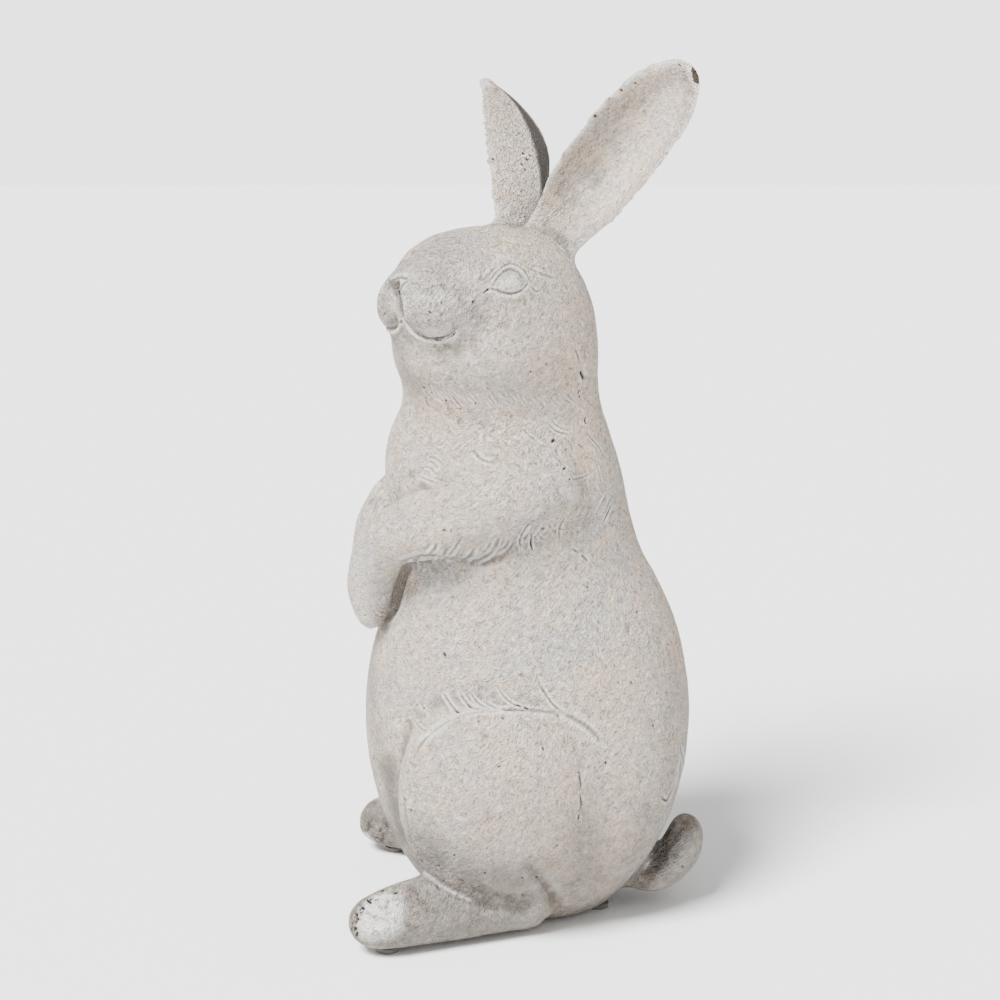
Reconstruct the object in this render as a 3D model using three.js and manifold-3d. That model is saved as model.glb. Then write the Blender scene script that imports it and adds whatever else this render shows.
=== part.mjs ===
// A rabbit figurine cast in filled resin, sitting up with its forelegs drawn in.
// The head is turned to the rabbit's left.
// Millimetres, +Z up. The rabbit faces -Y and its left side is +X. The finished figure stands on its origin.
import * as THREE from "three";
import { mergeVertices } from "three/addons/utils/BufferGeometryUtils.js";
import Module from "manifold-3d";

const wasm = await Module();
wasm.setup();

// Casting walls, glue lines and the gap between the two halves of a lap.
const castingWall = 6;
const glueGap = 0.3;
const lapLength = 5;

// Steel dowels: each is glued into a blind hole on either side of a joint.
const dowelRadius = 1.5;
const dowelHoleGap = 0.1;
const dowelInShell = 4;
const dowelInLimb = 6;
const dowelInEar = 4;
const footDowelInset = 4;

// Belly and rump. The floor cuts the belly off where it is sunk below it.
const bellyHalfWidth = 47;
const bellyHalfDepth = 58.5;
const bellyHalfHeight = 82;
const bellySunk = 10.5;
const bellyHeight = bellyHalfHeight - bellySunk;
const hipHalfWidth = 15;
const hipHalfDepth = 32;
const hipHalfHeight = 36;
const hipSpread = 29;
const hipSetback = 15;
const hipHeight = 54;
const hipBlend = 12;

// Chest with its ruff of fur, and the shoulders.
const chestHalfWidth = 35;
const chestHalfDepth = 40;
const chestHalfHeight = 44;
const chestHeight = 157;
const chestReach = 7.5;
const ruffHalfWidth = 24;
const ruffHalfDepth = 22;
const ruffHalfHeight = 25;
const ruffHeight = 166;
const ruffReach = 28;
const shoulderHalfWidth = 14.5;
const shoulderHalfDepth = 20.3;
const shoulderHalfHeight = 18.9;
const shoulderSpread = 20;
const shoulderReach = 7;
const shoulderHeight = 160;
const chestBlend = 8;
const torsoBlend = 18;

// Neck, and the level where the head casting sits on the torso under the cheek fur.
const neckHalfWidth = 26;
const neckHalfDepth = 33;
const neckHalfHeight = 46;
const neckReach = 8.5;
const neckRise = 1;
const neckSquareness = 2.3;
const neckBlend = 14;
const bodyBlend = 6;
const neckJointHeight = 195;
const spigotRadius = 17;
const spigotWall = 5;
const spigotDepth = 12;
const neckDeck = 20;

// Line down the flank where the front and back castings of the torso meet.
const partingSetback = 20;

// Head, measured from the neck joint: spread to each side, reach to the front, height up.
const headYaw = 41;
const headReach = 7;
const craniumHalfWidth = 27;
const craniumHalfLength = 28;
const craniumHalfHeight = 25;
const craniumReach = 8;
const craniumHeight = 26;
const muzzleHalfWidth = 14;
const muzzleHalfLength = 17;
const muzzleHalfHeight = 12;
const muzzleReach = 34;
const muzzleHeight = 35;
const whiskerPadRadius = 10;
const whiskerPadSpread = 9.5;
const whiskerPadReach = 39;
const whiskerPadHeight = 28.5;
const cheekHalfWidth = 16;
const cheekHalfLength = 21;
const cheekHalfHeight = 16;
const cheekSpread = 13;
const cheekReach = 13;
const cheekHeight = 14;
const chinRadius = 9;
const chinHalfHeight = 7;
const chinReach = 33;
const chinHeight = 13;
const browHalfWidth = 9;
const browHalfLength = 12.5;
const browHalfHeight = 7;
const browSpread = 15;
const browReach = 18;
const browHeight = 40;
const headBlend = 12;
const whiskerPadBlend = 2;
const muzzleBlend = 5;

// Eyes, nose and mouth.
const eyeHalfLength = 8.2;
const upperLidRise = 5;
const lowerLidDrop = 3;
const lidRadius = 0.9;
const eyeBulge = 0.8;
const eyeballHalfThickness = 4.2;
const eyeballHalfLength = 6;
const eyeSpread = 25.5;
const eyeReach = 22;
const eyeHeight = 41;
const noseHalfWidth = 4.5;
const noseDrop = 5.5;
const noseHeight = 43;
const nostrilReach = 47;
const mouthHeight = 29;
const mouthDip = 7;
const mouthHalfWidth = 18.5;
const mouthFullness = 1.25;
const mouthCornerReach = 37;
const grooveRadius = 0.9;

// Ears: each is a cupped leaf on a thick root.
const earLength = 85;
const earRootHalfWidth = 8.5;
const earHalfWidth = 15.4;
const leftEarCupDepth = 13;
const rightEarCupDepth = 19;
const earBowDepth = 1.8;
const earRimHalfThickness = 1.6;
const earTipHalfWidth = 10.5;
const earRootShare = 0.12;
const earOpenShare = 0.3;
const earTipSquareness = 14;
const earTipCrowding = 1.4;
const earRootHalfThickness = 8;
const earSinkDepth = 12;
const earSpread = 7.5;
const leftEarSetback = 17.3;
const rightEarSetback = 13.5;
const earHeight = 44;
const earDowelSetback = 5.5;
const leftEarSplay = 29.3;
const rightEarSplay = 50;
const leftEarRake = 24;
const rightEarRake = 29;
const leftEarTwist = 26;
const rightEarTwist = 45;

// Forelegs: from the shoulder round the chest, with the paws hanging in front.
const shoulderThickness = 18;
const elbowThickness = 13;
const wristThickness = 10;
const pawHalfWidth = 9;
const pawThickness = 8.5;
const pawTipHalfWidth = 7.2;
const pawTipThickness = 6;
const pawSpread = 13;
const pawReach = 55.5;
const pawTipHeight = 106;
const wristHeight = 141.5;
const elbowSpread = 31;
const elbowReach = 32;
const wristReach = 49.5;
const forelegRootInset = 4;
const forelegRootRise = 6;

// Haunches and hind feet.
const haunchHalfWidth = 21;
const haunchHalfDepth = 35;
const haunchHalfHeight = 38;
const haunchSpread = 38;
const haunchReach = 11;
const haunchHeight = 54;
const haunchSquareness = 2.2;
const footLength = 76;
const footHalfWidth = 12;
const heelHalfWidth = 11;
const heelThickness = 17;
const instepThickness = 26;
const toeThickness = 19;
const hockHalfWidth = 13;
const hockHalfDepth = 12;
const hockHalfHeight = 16.4;
const hockSpread = 31;
const hockReach = 1;
const hockHeight = 17;
const footSplay = 22;
const heelSpread = 27;
const heelSetback = 8;

// Tail, curled up behind the rump.
const tailHalfWidth = 14;
const tailRootHalfWidth = 11;
const tailTipHalfWidth = 10;
const tailThickness = 14;
const tailTipThickness = 11;
const tailLift = 4.6;
const tailBend = 9;
const tailSetback = 57;
const tailTipHeight = 32;
const tailRootSetback = 34;

// Underside: the plug in the pouring hole, and the felt pads.
const undersideLift = 0.6;
const plugRadius = 17;
const plugFlange = 3;
const plugFlangeThickness = 3;
const plugReach = 8;
const feltThickness = 1.6;
const feltRadius = 4;
const feltUnderToe = 62;
const feltUnderRumpSpread = 8;
const feltUnderRumpSetback = 25.5;

// Finishes.
const resin = { color: 0xcfc9c1, roughness: 0.95, metalness: 0 };
const steel = { color: 0x9a9da1, roughness: 0.35, metalness: 1 };
const felt = { color: 0x3c3a38, roughness: 1, metalness: 0 };

// Working functions: soft masses, and the surfaces laid round them.
const radians = THREE.MathUtils.degToRad;
const leftAndRight = { left: 1, right: -1 };
const longestReach = 160;
const reachSteps = 26;
const endSquareness = 8;
const cutOverrun = 1;
const everywhere = 2 * (neckJointHeight + earLength);

// Facets round and along each form.
const roundSides = 32;
const torsoColumns = 32;
const torsoRows = 21;
const cavityColumns = 20;
const cavityRows = 12;
const headColumns = 42;
const headRows = 30;
const headCavityColumns = 18;
const eyeColumns = 14;
const eyeRows = 8;
const lineColumns = 6;
const earColumns = 20;
const earRows = 17;
const haunchColumns = 24;
const haunchRows = 17;
const limbColumns = 16;
const forelegRows = 18;
const footRows = 13;
const hockRows = 10;
const tailRows = 12;
const feltSides = 20;
const dowelSides = 12;

// How far a point lies outside a mass, as a share of the mass times its least half size.
function mass(x, y, z, halfX, halfY, halfZ, squareness = 2) {
  const leastHalf = Math.min(halfX, halfY, halfZ);
  const power = (offset, half) => Math.pow(Math.abs(offset) / half, squareness);
  return (p) => {
    const sum = power(p.x - x, halfX) + power(p.y - y, halfY) + power(p.z - z, halfZ);
    return (Math.pow(sum, 1 / squareness) - 1) * leastHalf;
  };
}

function blend(radius, ...masses) {
  return (p) =>
    masses
      .map((distance) => distance(p))
      .reduce((a, b) => {
        const overlap = Math.max(radius - Math.abs(a - b), 0) / radius;
        return Math.min(a, b) - (overlap * overlap * radius) / 4;
      });
}

function bothSides(make) {
  return [make(1), make(-1)];
}

// The distance along a direction at which a field reaches a level.
function reach(field, from, direction, level = 0) {
  let near = 0;
  let far = longestReach;
  const p = new THREE.Vector3();
  for (let step = 0; step < reachSteps; step++) {
    const middle = (near + far) / 2;
    p.copy(from).addScaledVector(direction, middle);
    if (field(p) < level) near = middle;
    else far = middle;
  }
  return near;
}

function surfacePoint(field, from, direction, level = 0) {
  return from.clone().addScaledVector(direction, reach(field, from, direction, level));
}

function solid(geometry) {
  const bare = geometry.clone();
  bare.deleteAttribute("normal");
  bare.deleteAttribute("uv");
  const closed = mergeVertices(bare, 1e-4);
  const vertProperties = closed.attributes.position.array;
  const triVerts = new Uint32Array(closed.index.array);
  return new wasm.Manifold(new wasm.Mesh({ numProp: 3, vertProperties, triVerts }));
}

// A ball of facets pushed out until it lies on a field.
function wrapRound(field, centre, level, columns, rows) {
  const geometry = new THREE.SphereGeometry(1, columns, rows).rotateX(Math.PI / 2);
  const position = geometry.attributes.position;
  const direction = new THREE.Vector3();
  for (let i = 0; i < position.count; i++) {
    direction.fromBufferAttribute(position, i).normalize();
    const p = surfacePoint(field, centre, direction, level);
    position.setXYZ(i, p.x, p.y, p.z);
  }
  return solid(geometry);
}

// A drum of rings pushed out until it lies on a field, with flat ends.
function wrapUpright(field, axisY, level, low, high, columns, rows) {
  const geometry = new THREE.CylinderGeometry(1, 1, high - low, columns, rows)
    .rotateX(Math.PI / 2)
    .translate(0, 0, (low + high) / 2);
  const position = geometry.attributes.position;
  for (let i = 0; i < position.count; i++) {
    const outwards = new THREE.Vector3(position.getX(i), position.getY(i), 0);
    if (outwards.length() < 0.5) {
      position.setXYZ(i, 0, axisY, position.getZ(i));
      continue;
    }
    const p = surfacePoint(field, new THREE.Vector3(0, axisY, position.getZ(i)), outwards.normalize(), level);
    position.setXYZ(i, p.x, p.y, p.z);
  }
  return solid(geometry);
}

function between(sizes, share) {
  const place = share * (sizes.length - 1);
  const index = Math.min(Math.floor(place), sizes.length - 2);
  const local = THREE.MathUtils.smoothstep(place - index, 0, 1);
  return sizes[index].map((size, k) => THREE.MathUtils.lerp(size, sizes[index + 1][k], local));
}

// A limb with rounded ends, swept along a curve. Each station gives its half width and half thickness.
function limb(points, stations, columns, rows, widthAxis) {
  const curve = new THREE.CatmullRomCurve3(points, false, "centripetal");
  const geometry = new THREE.CylinderGeometry(1, 1, 1, columns, rows);
  const position = geometry.attributes.position;
  for (let i = 0; i < position.count; i++) {
    const share = (1 - Math.cos((position.getY(i) + 0.5) * Math.PI)) / 2;
    const rounding = Math.sqrt(Math.max(1 - Math.pow(2 * share - 1, endSquareness), 0));
    const along = curve.getTangent(share);
    const across = widthAxis.clone().projectOnPlane(along).normalize();
    const lift = across.clone().cross(along);
    const [halfWidth, halfThickness] = between(stations, share);
    const p = curve
      .getPoint(share)
      .addScaledVector(across, position.getX(i) * halfWidth * rounding)
      .addScaledVector(lift, position.getZ(i) * halfThickness * rounding);
    position.setXYZ(i, p.x, p.y, p.z);
  }
  return solid(geometry);
}

// A round bar between two heights along any axis, from a start point.
function bar(start, direction, from, to, radius, sides) {
  const geometry = new THREE.CylinderGeometry(radius, radius, to - from, sides);
  geometry.translate(0, (from + to) / 2, 0);
  const turn = new THREE.Quaternion().setFromUnitVectors(new THREE.Vector3(0, 1, 0), direction);
  return solid(geometry.applyQuaternion(turn).translate(start.x, start.y, start.z));
}

function slab(low, high) {
  const size = high.clone().sub(low);
  const middle = high.clone().add(low).multiplyScalar(0.5);
  return solid(new THREE.BoxGeometry(size.x, size.y, size.z).translate(middle.x, middle.y, middle.z));
}

// The largest body of a cut piece, without the slivers a cut can leave.
function largest(piece) {
  return piece.decompose().reduce((a, b) => (b.volume() > a.volume() ? b : a));
}

const figure = new THREE.Group();

function addMesh(name, piece, finish = resin) {
  const mesh = largest(piece).getMesh();
  const geometry = new THREE.BufferGeometry();
  geometry.setAttribute("position", new THREE.BufferAttribute(mesh.vertProperties, 3));
  geometry.setIndex(new THREE.BufferAttribute(mesh.triVerts, 1));
  const item = new THREE.Mesh(geometry, new THREE.MeshStandardMaterial({ ...finish, flatShading: true }));
  item.name = name;
  figure.add(item);
}

// Masses of the body.
const belly = mass(0, 0, bellyHeight, bellyHalfWidth, bellyHalfDepth, bellyHalfHeight);
const chest = mass(0, -chestReach, chestHeight, chestHalfWidth, chestHalfDepth, chestHalfHeight);
const ruff = mass(0, -ruffReach, ruffHeight, ruffHalfWidth, ruffHalfDepth, ruffHalfHeight);
const shoulders = bothSides((side) =>
  mass(
    side * shoulderSpread,
    -shoulderReach,
    shoulderHeight,
    shoulderHalfWidth,
    shoulderHalfDepth,
    shoulderHalfHeight,
  ),
);
const neck = mass(
  0,
  -neckReach,
  neckJointHeight + neckRise,
  neckHalfWidth,
  neckHalfDepth,
  neckHalfHeight,
  neckSquareness,
);
const hips = bothSides((side) =>
  mass(side * hipSpread, hipSetback, hipHeight, hipHalfWidth, hipHalfDepth, hipHalfHeight),
);
const rump = blend(hipBlend, belly, ...hips);
const breast = blend(chestBlend, chest, ruff, ...shoulders);
const trunk = blend(torsoBlend, rump, breast);

// Masses of the head, in its own frame.
const headToFigure = new THREE.Matrix4()
  .makeTranslation(0, -headReach, neckJointHeight)
  .multiply(new THREE.Matrix4().makeRotationZ(radians(headYaw)));
const figureToHead = headToFigure.clone().invert();
const skull = blend(
  headBlend,
  mass(0, -craniumReach, craniumHeight, craniumHalfWidth, craniumHalfLength, craniumHalfHeight),
  mass(0, -muzzleReach, muzzleHeight, muzzleHalfWidth, muzzleHalfLength, muzzleHalfHeight),
  ...bothSides((side) =>
    mass(side * cheekSpread, -cheekReach, cheekHeight, cheekHalfWidth, cheekHalfLength, cheekHalfHeight),
  ),
  mass(0, -chinReach, chinHeight, chinRadius, chinRadius, chinHalfHeight),
  ...bothSides((side) =>
    mass(side * browSpread, -browReach, browHeight, browHalfWidth, browHalfLength, browHalfHeight),
  ),
);
const ball = (x, y, z, radius) => mass(x, y, z, radius, radius, radius);
const whiskerPads = blend(
  whiskerPadBlend,
  ...bothSides((side) => ball(side * whiskerPadSpread, -whiskerPadReach, whiskerPadHeight, whiskerPadRadius)),
);
const headField = blend(muzzleBlend, skull, whiskerPads);
const headInFigure = (p) => headField(p.clone().applyMatrix4(figureToHead));
const body = blend(bodyBlend, trunk, blend(neckBlend, neck, headInFigure));

// Torso: a hollow casting in two halves, which lap inside each other down the flank.
const torsoFloor = undersideLift + castingWall;
const torsoTop = neckJointHeight;
const cavityTop = neckJointHeight - neckDeck;
const torsoAxis = -chestReach / 2;
const torsoOuter = wrapUpright(body, torsoAxis, 0, undersideLift, torsoTop, torsoColumns, torsoRows);
const torsoSeat = wrapUpright(
  body,
  torsoAxis,
  glueGap,
  undersideLift - glueGap,
  torsoTop,
  torsoColumns,
  torsoRows,
);
const torsoCavity = wrapUpright(
  body,
  torsoAxis,
  -castingWall,
  torsoFloor,
  cavityTop,
  cavityColumns,
  cavityRows,
);
const lapOuter = wrapUpright(
  body,
  torsoAxis,
  -castingWall / 2,
  torsoFloor / 2,
  torsoTop - castingWall / 2,
  cavityColumns,
  cavityRows,
);
const lapInner = wrapUpright(
  body,
  torsoAxis,
  -castingWall / 2 - glueGap,
  torsoFloor / 2 + glueGap,
  torsoTop - castingWall / 2 - glueGap,
  cavityColumns,
  cavityRows,
);
const farCorner = new THREE.Vector3(everywhere, everywhere, everywhere);
const nearCorner = farCorner.clone().negate();
const inFrontOf = (setback) => slab(nearCorner, farCorner.clone().setY(setback));
const up = new THREE.Vector3(0, 0, 1);
const widthwise = new THREE.Vector3(1, 0, 0);
const neckCentre = new THREE.Vector3(0, -headReach, neckJointHeight);
const neckBore = bar(neckCentre, up, -neckDeck - castingWall, cutOverrun, spigotRadius + glueGap, roundSides);
const plugCentre = new THREE.Vector3(0, -plugReach, undersideLift);
const pouringHole = bar(
  plugCentre,
  up,
  -cutOverrun,
  torsoFloor + cutOverrun,
  plugRadius + glueGap,
  roundSides,
).add(
  bar(
    plugCentre,
    up,
    -cutOverrun,
    plugFlangeThickness + glueGap,
    plugRadius + plugFlange + glueGap,
    roundSides,
  ),
);
let torsoFront = torsoOuter
  .intersect(inFrontOf(partingSetback))
  .add(lapInner.intersect(inFrontOf(partingSetback + lapLength)))
  .subtract(torsoCavity)
  .subtract(neckBore)
  .subtract(pouringHole);
let torsoBack = torsoOuter
  .subtract(inFrontOf(partingSetback + glueGap))
  .subtract(lapOuter.intersect(inFrontOf(partingSetback + lapLength + glueGap)))
  .subtract(torsoCavity)
  .subtract(neckBore);

// Head: a hollow casting with a spigot that drops into the torso's neck.
const headCentre = new THREE.Vector3(0, -craniumReach, craniumHeight).applyMatrix4(headToFigure);
const headFloor = neckJointHeight + glueGap;
const above = (height) => slab(nearCorner.clone().setZ(height), farCorner);
const headOuter = wrapRound(body, headCentre, 0, headColumns, headRows);
const headSeat = wrapRound(body, headCentre, glueGap, headColumns, headRows);
const headCavity = wrapRound(
  body,
  headCentre,
  -castingWall,
  headCavityColumns,
  cavityRows,
).intersect(above(headFloor + castingWall));
const spigot = bar(neckCentre, up, -spigotDepth, castingWall, spigotRadius, roundSides);
const spigotBore = bar(
  neckCentre,
  up,
  -spigotDepth - cutOverrun,
  castingWall * 2,
  spigotRadius - spigotWall,
  roundSides,
);
const faceCentre = new THREE.Vector3(0, -craniumReach, (craniumHeight + muzzleHeight) / 2);
const noseReach = whiskerPadReach + whiskerPadRadius;

// A bead or groove that follows the face through points given by spread, reach and height.
function faceLine(points, radius) {
  const onFace = points.map(([spread, reachOut, height]) => {
    const direction = new THREE.Vector3(spread, -reachOut, height).sub(faceCentre).normalize();
    return surfacePoint(headField, faceCentre, direction).applyMatrix4(headToFigure);
  });
  const steps = onFace.length + 3;
  return limb(onFace, [[radius, radius], [radius, radius]], lineColumns, steps, new THREE.Vector3(0, 0, 1));
}
function alongLine(steps, pointAt) {
  return Array.from({ length: steps + 1 }, (_, i) => pointAt((2 * i) / steps - 1));
}
const mouth = faceLine(
  alongLine(8, (t) => [
    mouthHalfWidth * t,
    THREE.MathUtils.lerp(noseReach, mouthCornerReach, t * t),
    mouthHeight - mouthDip * Math.sin(Math.min(Math.abs(t) * mouthFullness, 1) * Math.PI * 0.5),
  ]),
  grooveRadius,
);
const philtrum = faceLine(
  [
    [0, noseReach, mouthHeight],
    [0, noseReach, (mouthHeight + noseHeight - noseDrop) / 2],
    [0, noseReach, noseHeight - noseDrop],
  ],
  grooveRadius,
);
const nostrils = faceLine(
  alongLine(4, (t) => [noseHalfWidth * t, nostrilReach, noseHeight - noseDrop * (1 - Math.abs(t))]),
  grooveRadius,
);
const eyes = bothSides((side) => {
  const lid = (rise) =>
    faceLine(
      alongLine(5, (t) => [side * eyeSpread, eyeReach + eyeHalfLength * t, eyeHeight + rise * (1 - t * t)]),
      lidRadius,
    );
  const outwards = new THREE.Vector3(side * eyeSpread, -eyeReach, eyeHeight).sub(faceCentre).normalize();
  const centre = surfacePoint(headField, faceCentre, outwards, eyeBulge - eyeballHalfThickness);
  const ball = new THREE.SphereGeometry(1, eyeColumns, eyeRows)
    .scale(eyeballHalfThickness, eyeballHalfLength, upperLidRise)
    .translate(centre.x, centre.y, centre.z)
    .applyMatrix4(headToFigure);
  return solid(ball).add(lid(upperLidRise)).add(lid(-lowerLidDrop));
});
let head = headOuter
  .add(eyes[0])
  .add(eyes[1])
  .subtract(mouth)
  .subtract(philtrum)
  .subtract(nostrils)
  .intersect(above(headFloor))
  .add(spigot)
  .subtract(headCavity)
  .subtract(spigotBore);

// Ears: leaves with a cupped front, set on the crown.
const earHalfWidths = [
  [earRootHalfWidth],
  [THREE.MathUtils.lerp(earRootHalfWidth, earHalfWidth, 0.4)],
  [THREE.MathUtils.lerp(earRootHalfWidth, earHalfWidth, 0.92)],
  [earHalfWidth],
  [THREE.MathUtils.lerp(earTipHalfWidth, earHalfWidth, 0.8)],
  [earTipHalfWidth],
];
function earLeaf(side, fullCup) {
  const geometry = new THREE.CylinderGeometry(1, 1, 1, earColumns, earRows).rotateX(Math.PI / 2);
  const position = geometry.attributes.position;
  for (let i = 0; i < position.count; i++) {
    const share = 1 - Math.pow(0.5 - position.getZ(i), earTipCrowding);
    const across = position.getX(i);
    const front = position.getY(i);
    const bow = -side * earBowDepth * Math.sin(Math.PI * share);
    const rooted = 1 - Math.min(share / earRootShare, 1);
    const tip = Math.sqrt(Math.max(1 - Math.pow(share, earTipSquareness) - rooted * rooted, 0));
    const open = THREE.MathUtils.smoothstep(share, 0, earOpenShare);
    const cup = fullCup * open * Math.sin(Math.PI * share);
    const halfThickness = THREE.MathUtils.lerp(earRootHalfThickness, earRimHalfThickness, open) * tip;
    position.setXYZ(
      i,
      bow + between(earHalfWidths, share)[0] * tip * across,
      cup * front * front + halfThickness * front,
      share * (earLength + earSinkDepth) - earSinkDepth,
    );
  }
  return solid(geometry);
}
const ears = {};
const earAxes = {};
const setbacks = { left: leftEarSetback, right: rightEarSetback };
const cups = { left: leftEarCupDepth, right: rightEarCupDepth };
const splays = { left: leftEarSplay, right: rightEarSplay };
const rakes = { left: leftEarRake, right: rightEarRake };
const twists = { left: leftEarTwist, right: rightEarTwist };
for (const [name, side] of Object.entries(leftAndRight)) {
  const place = headToFigure
    .clone()
    .multiply(new THREE.Matrix4().makeTranslation(side * earSpread, setbacks[name] - craniumReach, earHeight))
    .multiply(new THREE.Matrix4().makeRotationY(side * radians(splays[name])))
    .multiply(new THREE.Matrix4().makeRotationX(-radians(rakes[name])))
    .multiply(new THREE.Matrix4().makeRotationZ(side * radians(twists[name])));
  const crownLine = [-side * everywhere, (side * glueGap) / 2].sort((a, b) => a - b);
  const otherHalf = slab(
    new THREE.Vector3(crownLine[0], -everywhere, -everywhere),
    new THREE.Vector3(crownLine[1], everywhere, everywhere),
  ).transform(headToFigure.elements);
  ears[name] = earLeaf(side, cups[name]).transform(place.elements).subtract(headSeat).subtract(otherHalf);
  earAxes[name] = {
    start: new THREE.Vector3(0, earDowelSetback, -earSinkDepth).applyMatrix4(place),
    direction: new THREE.Vector3(0, 0, 1).transformDirection(place),
  };
}

// Haunches.
const haunches = {};
const haunchSeats = {};
for (const [name, side] of Object.entries(leftAndRight)) {
  const centre = new THREE.Vector3(side * haunchSpread, -haunchReach, haunchHeight);
  const field = mass(
    centre.x,
    centre.y,
    centre.z,
    haunchHalfWidth,
    haunchHalfDepth,
    haunchHalfHeight,
    haunchSquareness,
  );
  haunches[name] = wrapRound(field, centre, 0, haunchColumns, haunchRows).subtract(torsoSeat);
  haunchSeats[name] = wrapRound(field, centre, glueGap, haunchColumns, haunchRows);
}

// Hind feet, splayed, with the heel tucked under the haunch and the hock rising from it.
const feet = {};
const footThicknesses = [heelThickness, instepThickness, toeThickness];
for (const [name, side] of Object.entries(leftAndRight)) {
  const sole = undersideLift;
  const alongFoot = new THREE.Vector3(side * Math.sin(radians(footSplay)), -Math.cos(radians(footSplay)), 0);
  const acrossFoot = new THREE.Vector3(Math.cos(radians(footSplay)), side * Math.sin(radians(footSplay)), 0);
  const heel = new THREE.Vector3(side * heelSpread, heelSetback, sole);
  const points = footThicknesses.map((thickness, i) =>
    heel
      .clone()
      .addScaledVector(alongFoot, (footLength * i) / (footThicknesses.length - 1))
      .setZ(sole + thickness / 2),
  );
  const halfSizes = [
    [heelHalfWidth, heelThickness / 2],
    [footHalfWidth, instepThickness / 2],
    [footHalfWidth, toeThickness / 2],
  ];
  const hockCentre = new THREE.Vector3(side * hockSpread, -hockReach, hockHeight);
  const hock = mass(hockCentre.x, hockCentre.y, hockCentre.z, hockHalfWidth, hockHalfDepth, hockHalfHeight);
  feet[name] = limb(points, halfSizes, limbColumns, footRows, acrossFoot)
    .add(wrapRound(hock, hockCentre, 0, limbColumns, hockRows).intersect(above(sole)))
    .subtract(torsoSeat)
    .subtract(haunchSeats[name]);
}

// Forelegs.
const forelegs = {};
const forelegRootSetback = partingSetback - forelegRootInset;
for (const [name, side] of Object.entries(leftAndRight)) {
  const points = [
    new THREE.Vector3(side * shoulderSpread, forelegRootSetback, shoulderHeight + forelegRootRise),
    new THREE.Vector3(side * elbowSpread, -shoulderReach, shoulderHeight),
    new THREE.Vector3(side * elbowSpread, -elbowReach, (shoulderHeight + wristHeight) / 2),
    new THREE.Vector3((side * (elbowSpread + pawSpread)) / 2, -wristReach, wristHeight),
    new THREE.Vector3(side * pawSpread, -pawReach, (wristHeight + pawTipHeight) / 2),
    new THREE.Vector3(side * pawSpread, -pawReach, pawTipHeight),
  ];
  const halfSizes = [
    [shoulderThickness, shoulderThickness],
    [(shoulderThickness + elbowThickness) / 2, (shoulderThickness + elbowThickness) / 2],
    [elbowThickness, elbowThickness],
    [wristThickness, wristThickness],
    [pawHalfWidth, pawThickness],
    [pawTipHalfWidth, pawTipThickness],
  ];
  forelegs[name] = limb(points, halfSizes, limbColumns, forelegRows, widthwise).subtract(torsoSeat);
}

// Tail.
const tailRoot = new THREE.Vector3(0, tailRootSetback, tailLift + tailThickness / 2);
const tailTip = new THREE.Vector3(0, tailSetback, tailTipHeight);
const tailPoints = [
  tailRoot,
  new THREE.Vector3(0, tailSetback - tailBend, tailRoot.z),
  new THREE.Vector3(0, tailSetback, (tailRoot.z + tailTip.z) / 2),
  tailTip,
];
const tailHalfSizes = [
  [tailRootHalfWidth, tailThickness / 2],
  [tailHalfWidth, tailThickness / 2],
  [tailHalfWidth, tailThickness / 2],
  [tailTipHalfWidth, tailTipThickness / 2],
];
let tail = limb(tailPoints, tailHalfSizes, limbColumns, tailRows, widthwise).subtract(torsoSeat);

// Dowels across the glue lines, each with its two blind holes.
function dowel(start, direction, inwards, outwards) {
  return {
    pin: bar(start, direction, -inwards, outwards, dowelRadius, dowelSides),
    hole: bar(
      start,
      direction,
      -inwards - glueGap,
      outwards + glueGap,
      dowelRadius + dowelHoleGap,
      dowelSides,
    ),
  };
}
const dowels = {};
for (const [name, side] of Object.entries(leftAndRight)) {
  const sideways = new THREE.Vector3(side, 0, 0);
  const behindHaunch = surfacePoint(body, new THREE.Vector3(0, -haunchReach, haunchHeight), sideways);
  const haunchLow = haunchHeight - haunchHalfHeight;
  const flank = new THREE.Vector3(0, -haunchReach, haunchLow + dowelInLimb);
  const underHaunch = surfacePoint(body, flank, sideways)
    .addScaledVector(sideways, footDowelInset)
    .setZ(haunchLow);
  const shoulder = surfacePoint(body, new THREE.Vector3(0, -shoulderReach, shoulderHeight), sideways);
  const earSocket = surfacePoint(body, earAxes[name].start, earAxes[name].direction);
  dowels["haunch_" + name] = dowel(behindHaunch, sideways, dowelInShell, dowelInLimb);
  dowels["hind_foot_" + name] = dowel(underHaunch, up, dowelInLimb, dowelInLimb);
  dowels["foreleg_" + name] = dowel(shoulder, sideways, dowelInShell, dowelInLimb);
  dowels["ear_" + name] = dowel(earSocket, earAxes[name].direction, dowelInShell, dowelInEar);
  haunches[name] = haunches[name]
    .subtract(dowels["haunch_" + name].hole)
    .subtract(dowels["hind_foot_" + name].hole);
  feet[name] = feet[name].subtract(dowels["hind_foot_" + name].hole);
  forelegs[name] = forelegs[name].subtract(dowels["foreleg_" + name].hole);
  ears[name] = ears[name].subtract(dowels["ear_" + name].hole);
  head = head.subtract(dowels["ear_" + name].hole);
  torsoFront = torsoFront.subtract(dowels["haunch_" + name].hole).subtract(dowels["foreleg_" + name].hole);
}
const backwards = new THREE.Vector3(0, 1, 0);
dowels.tail = dowel(
  surfacePoint(body, new THREE.Vector3(0, 0, tailRoot.z), backwards),
  backwards,
  dowelInShell,
  dowelInLimb,
);
tail = tail.subtract(dowels.tail.hole);
torsoBack = torsoBack.subtract(dowels.tail.hole);

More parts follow.
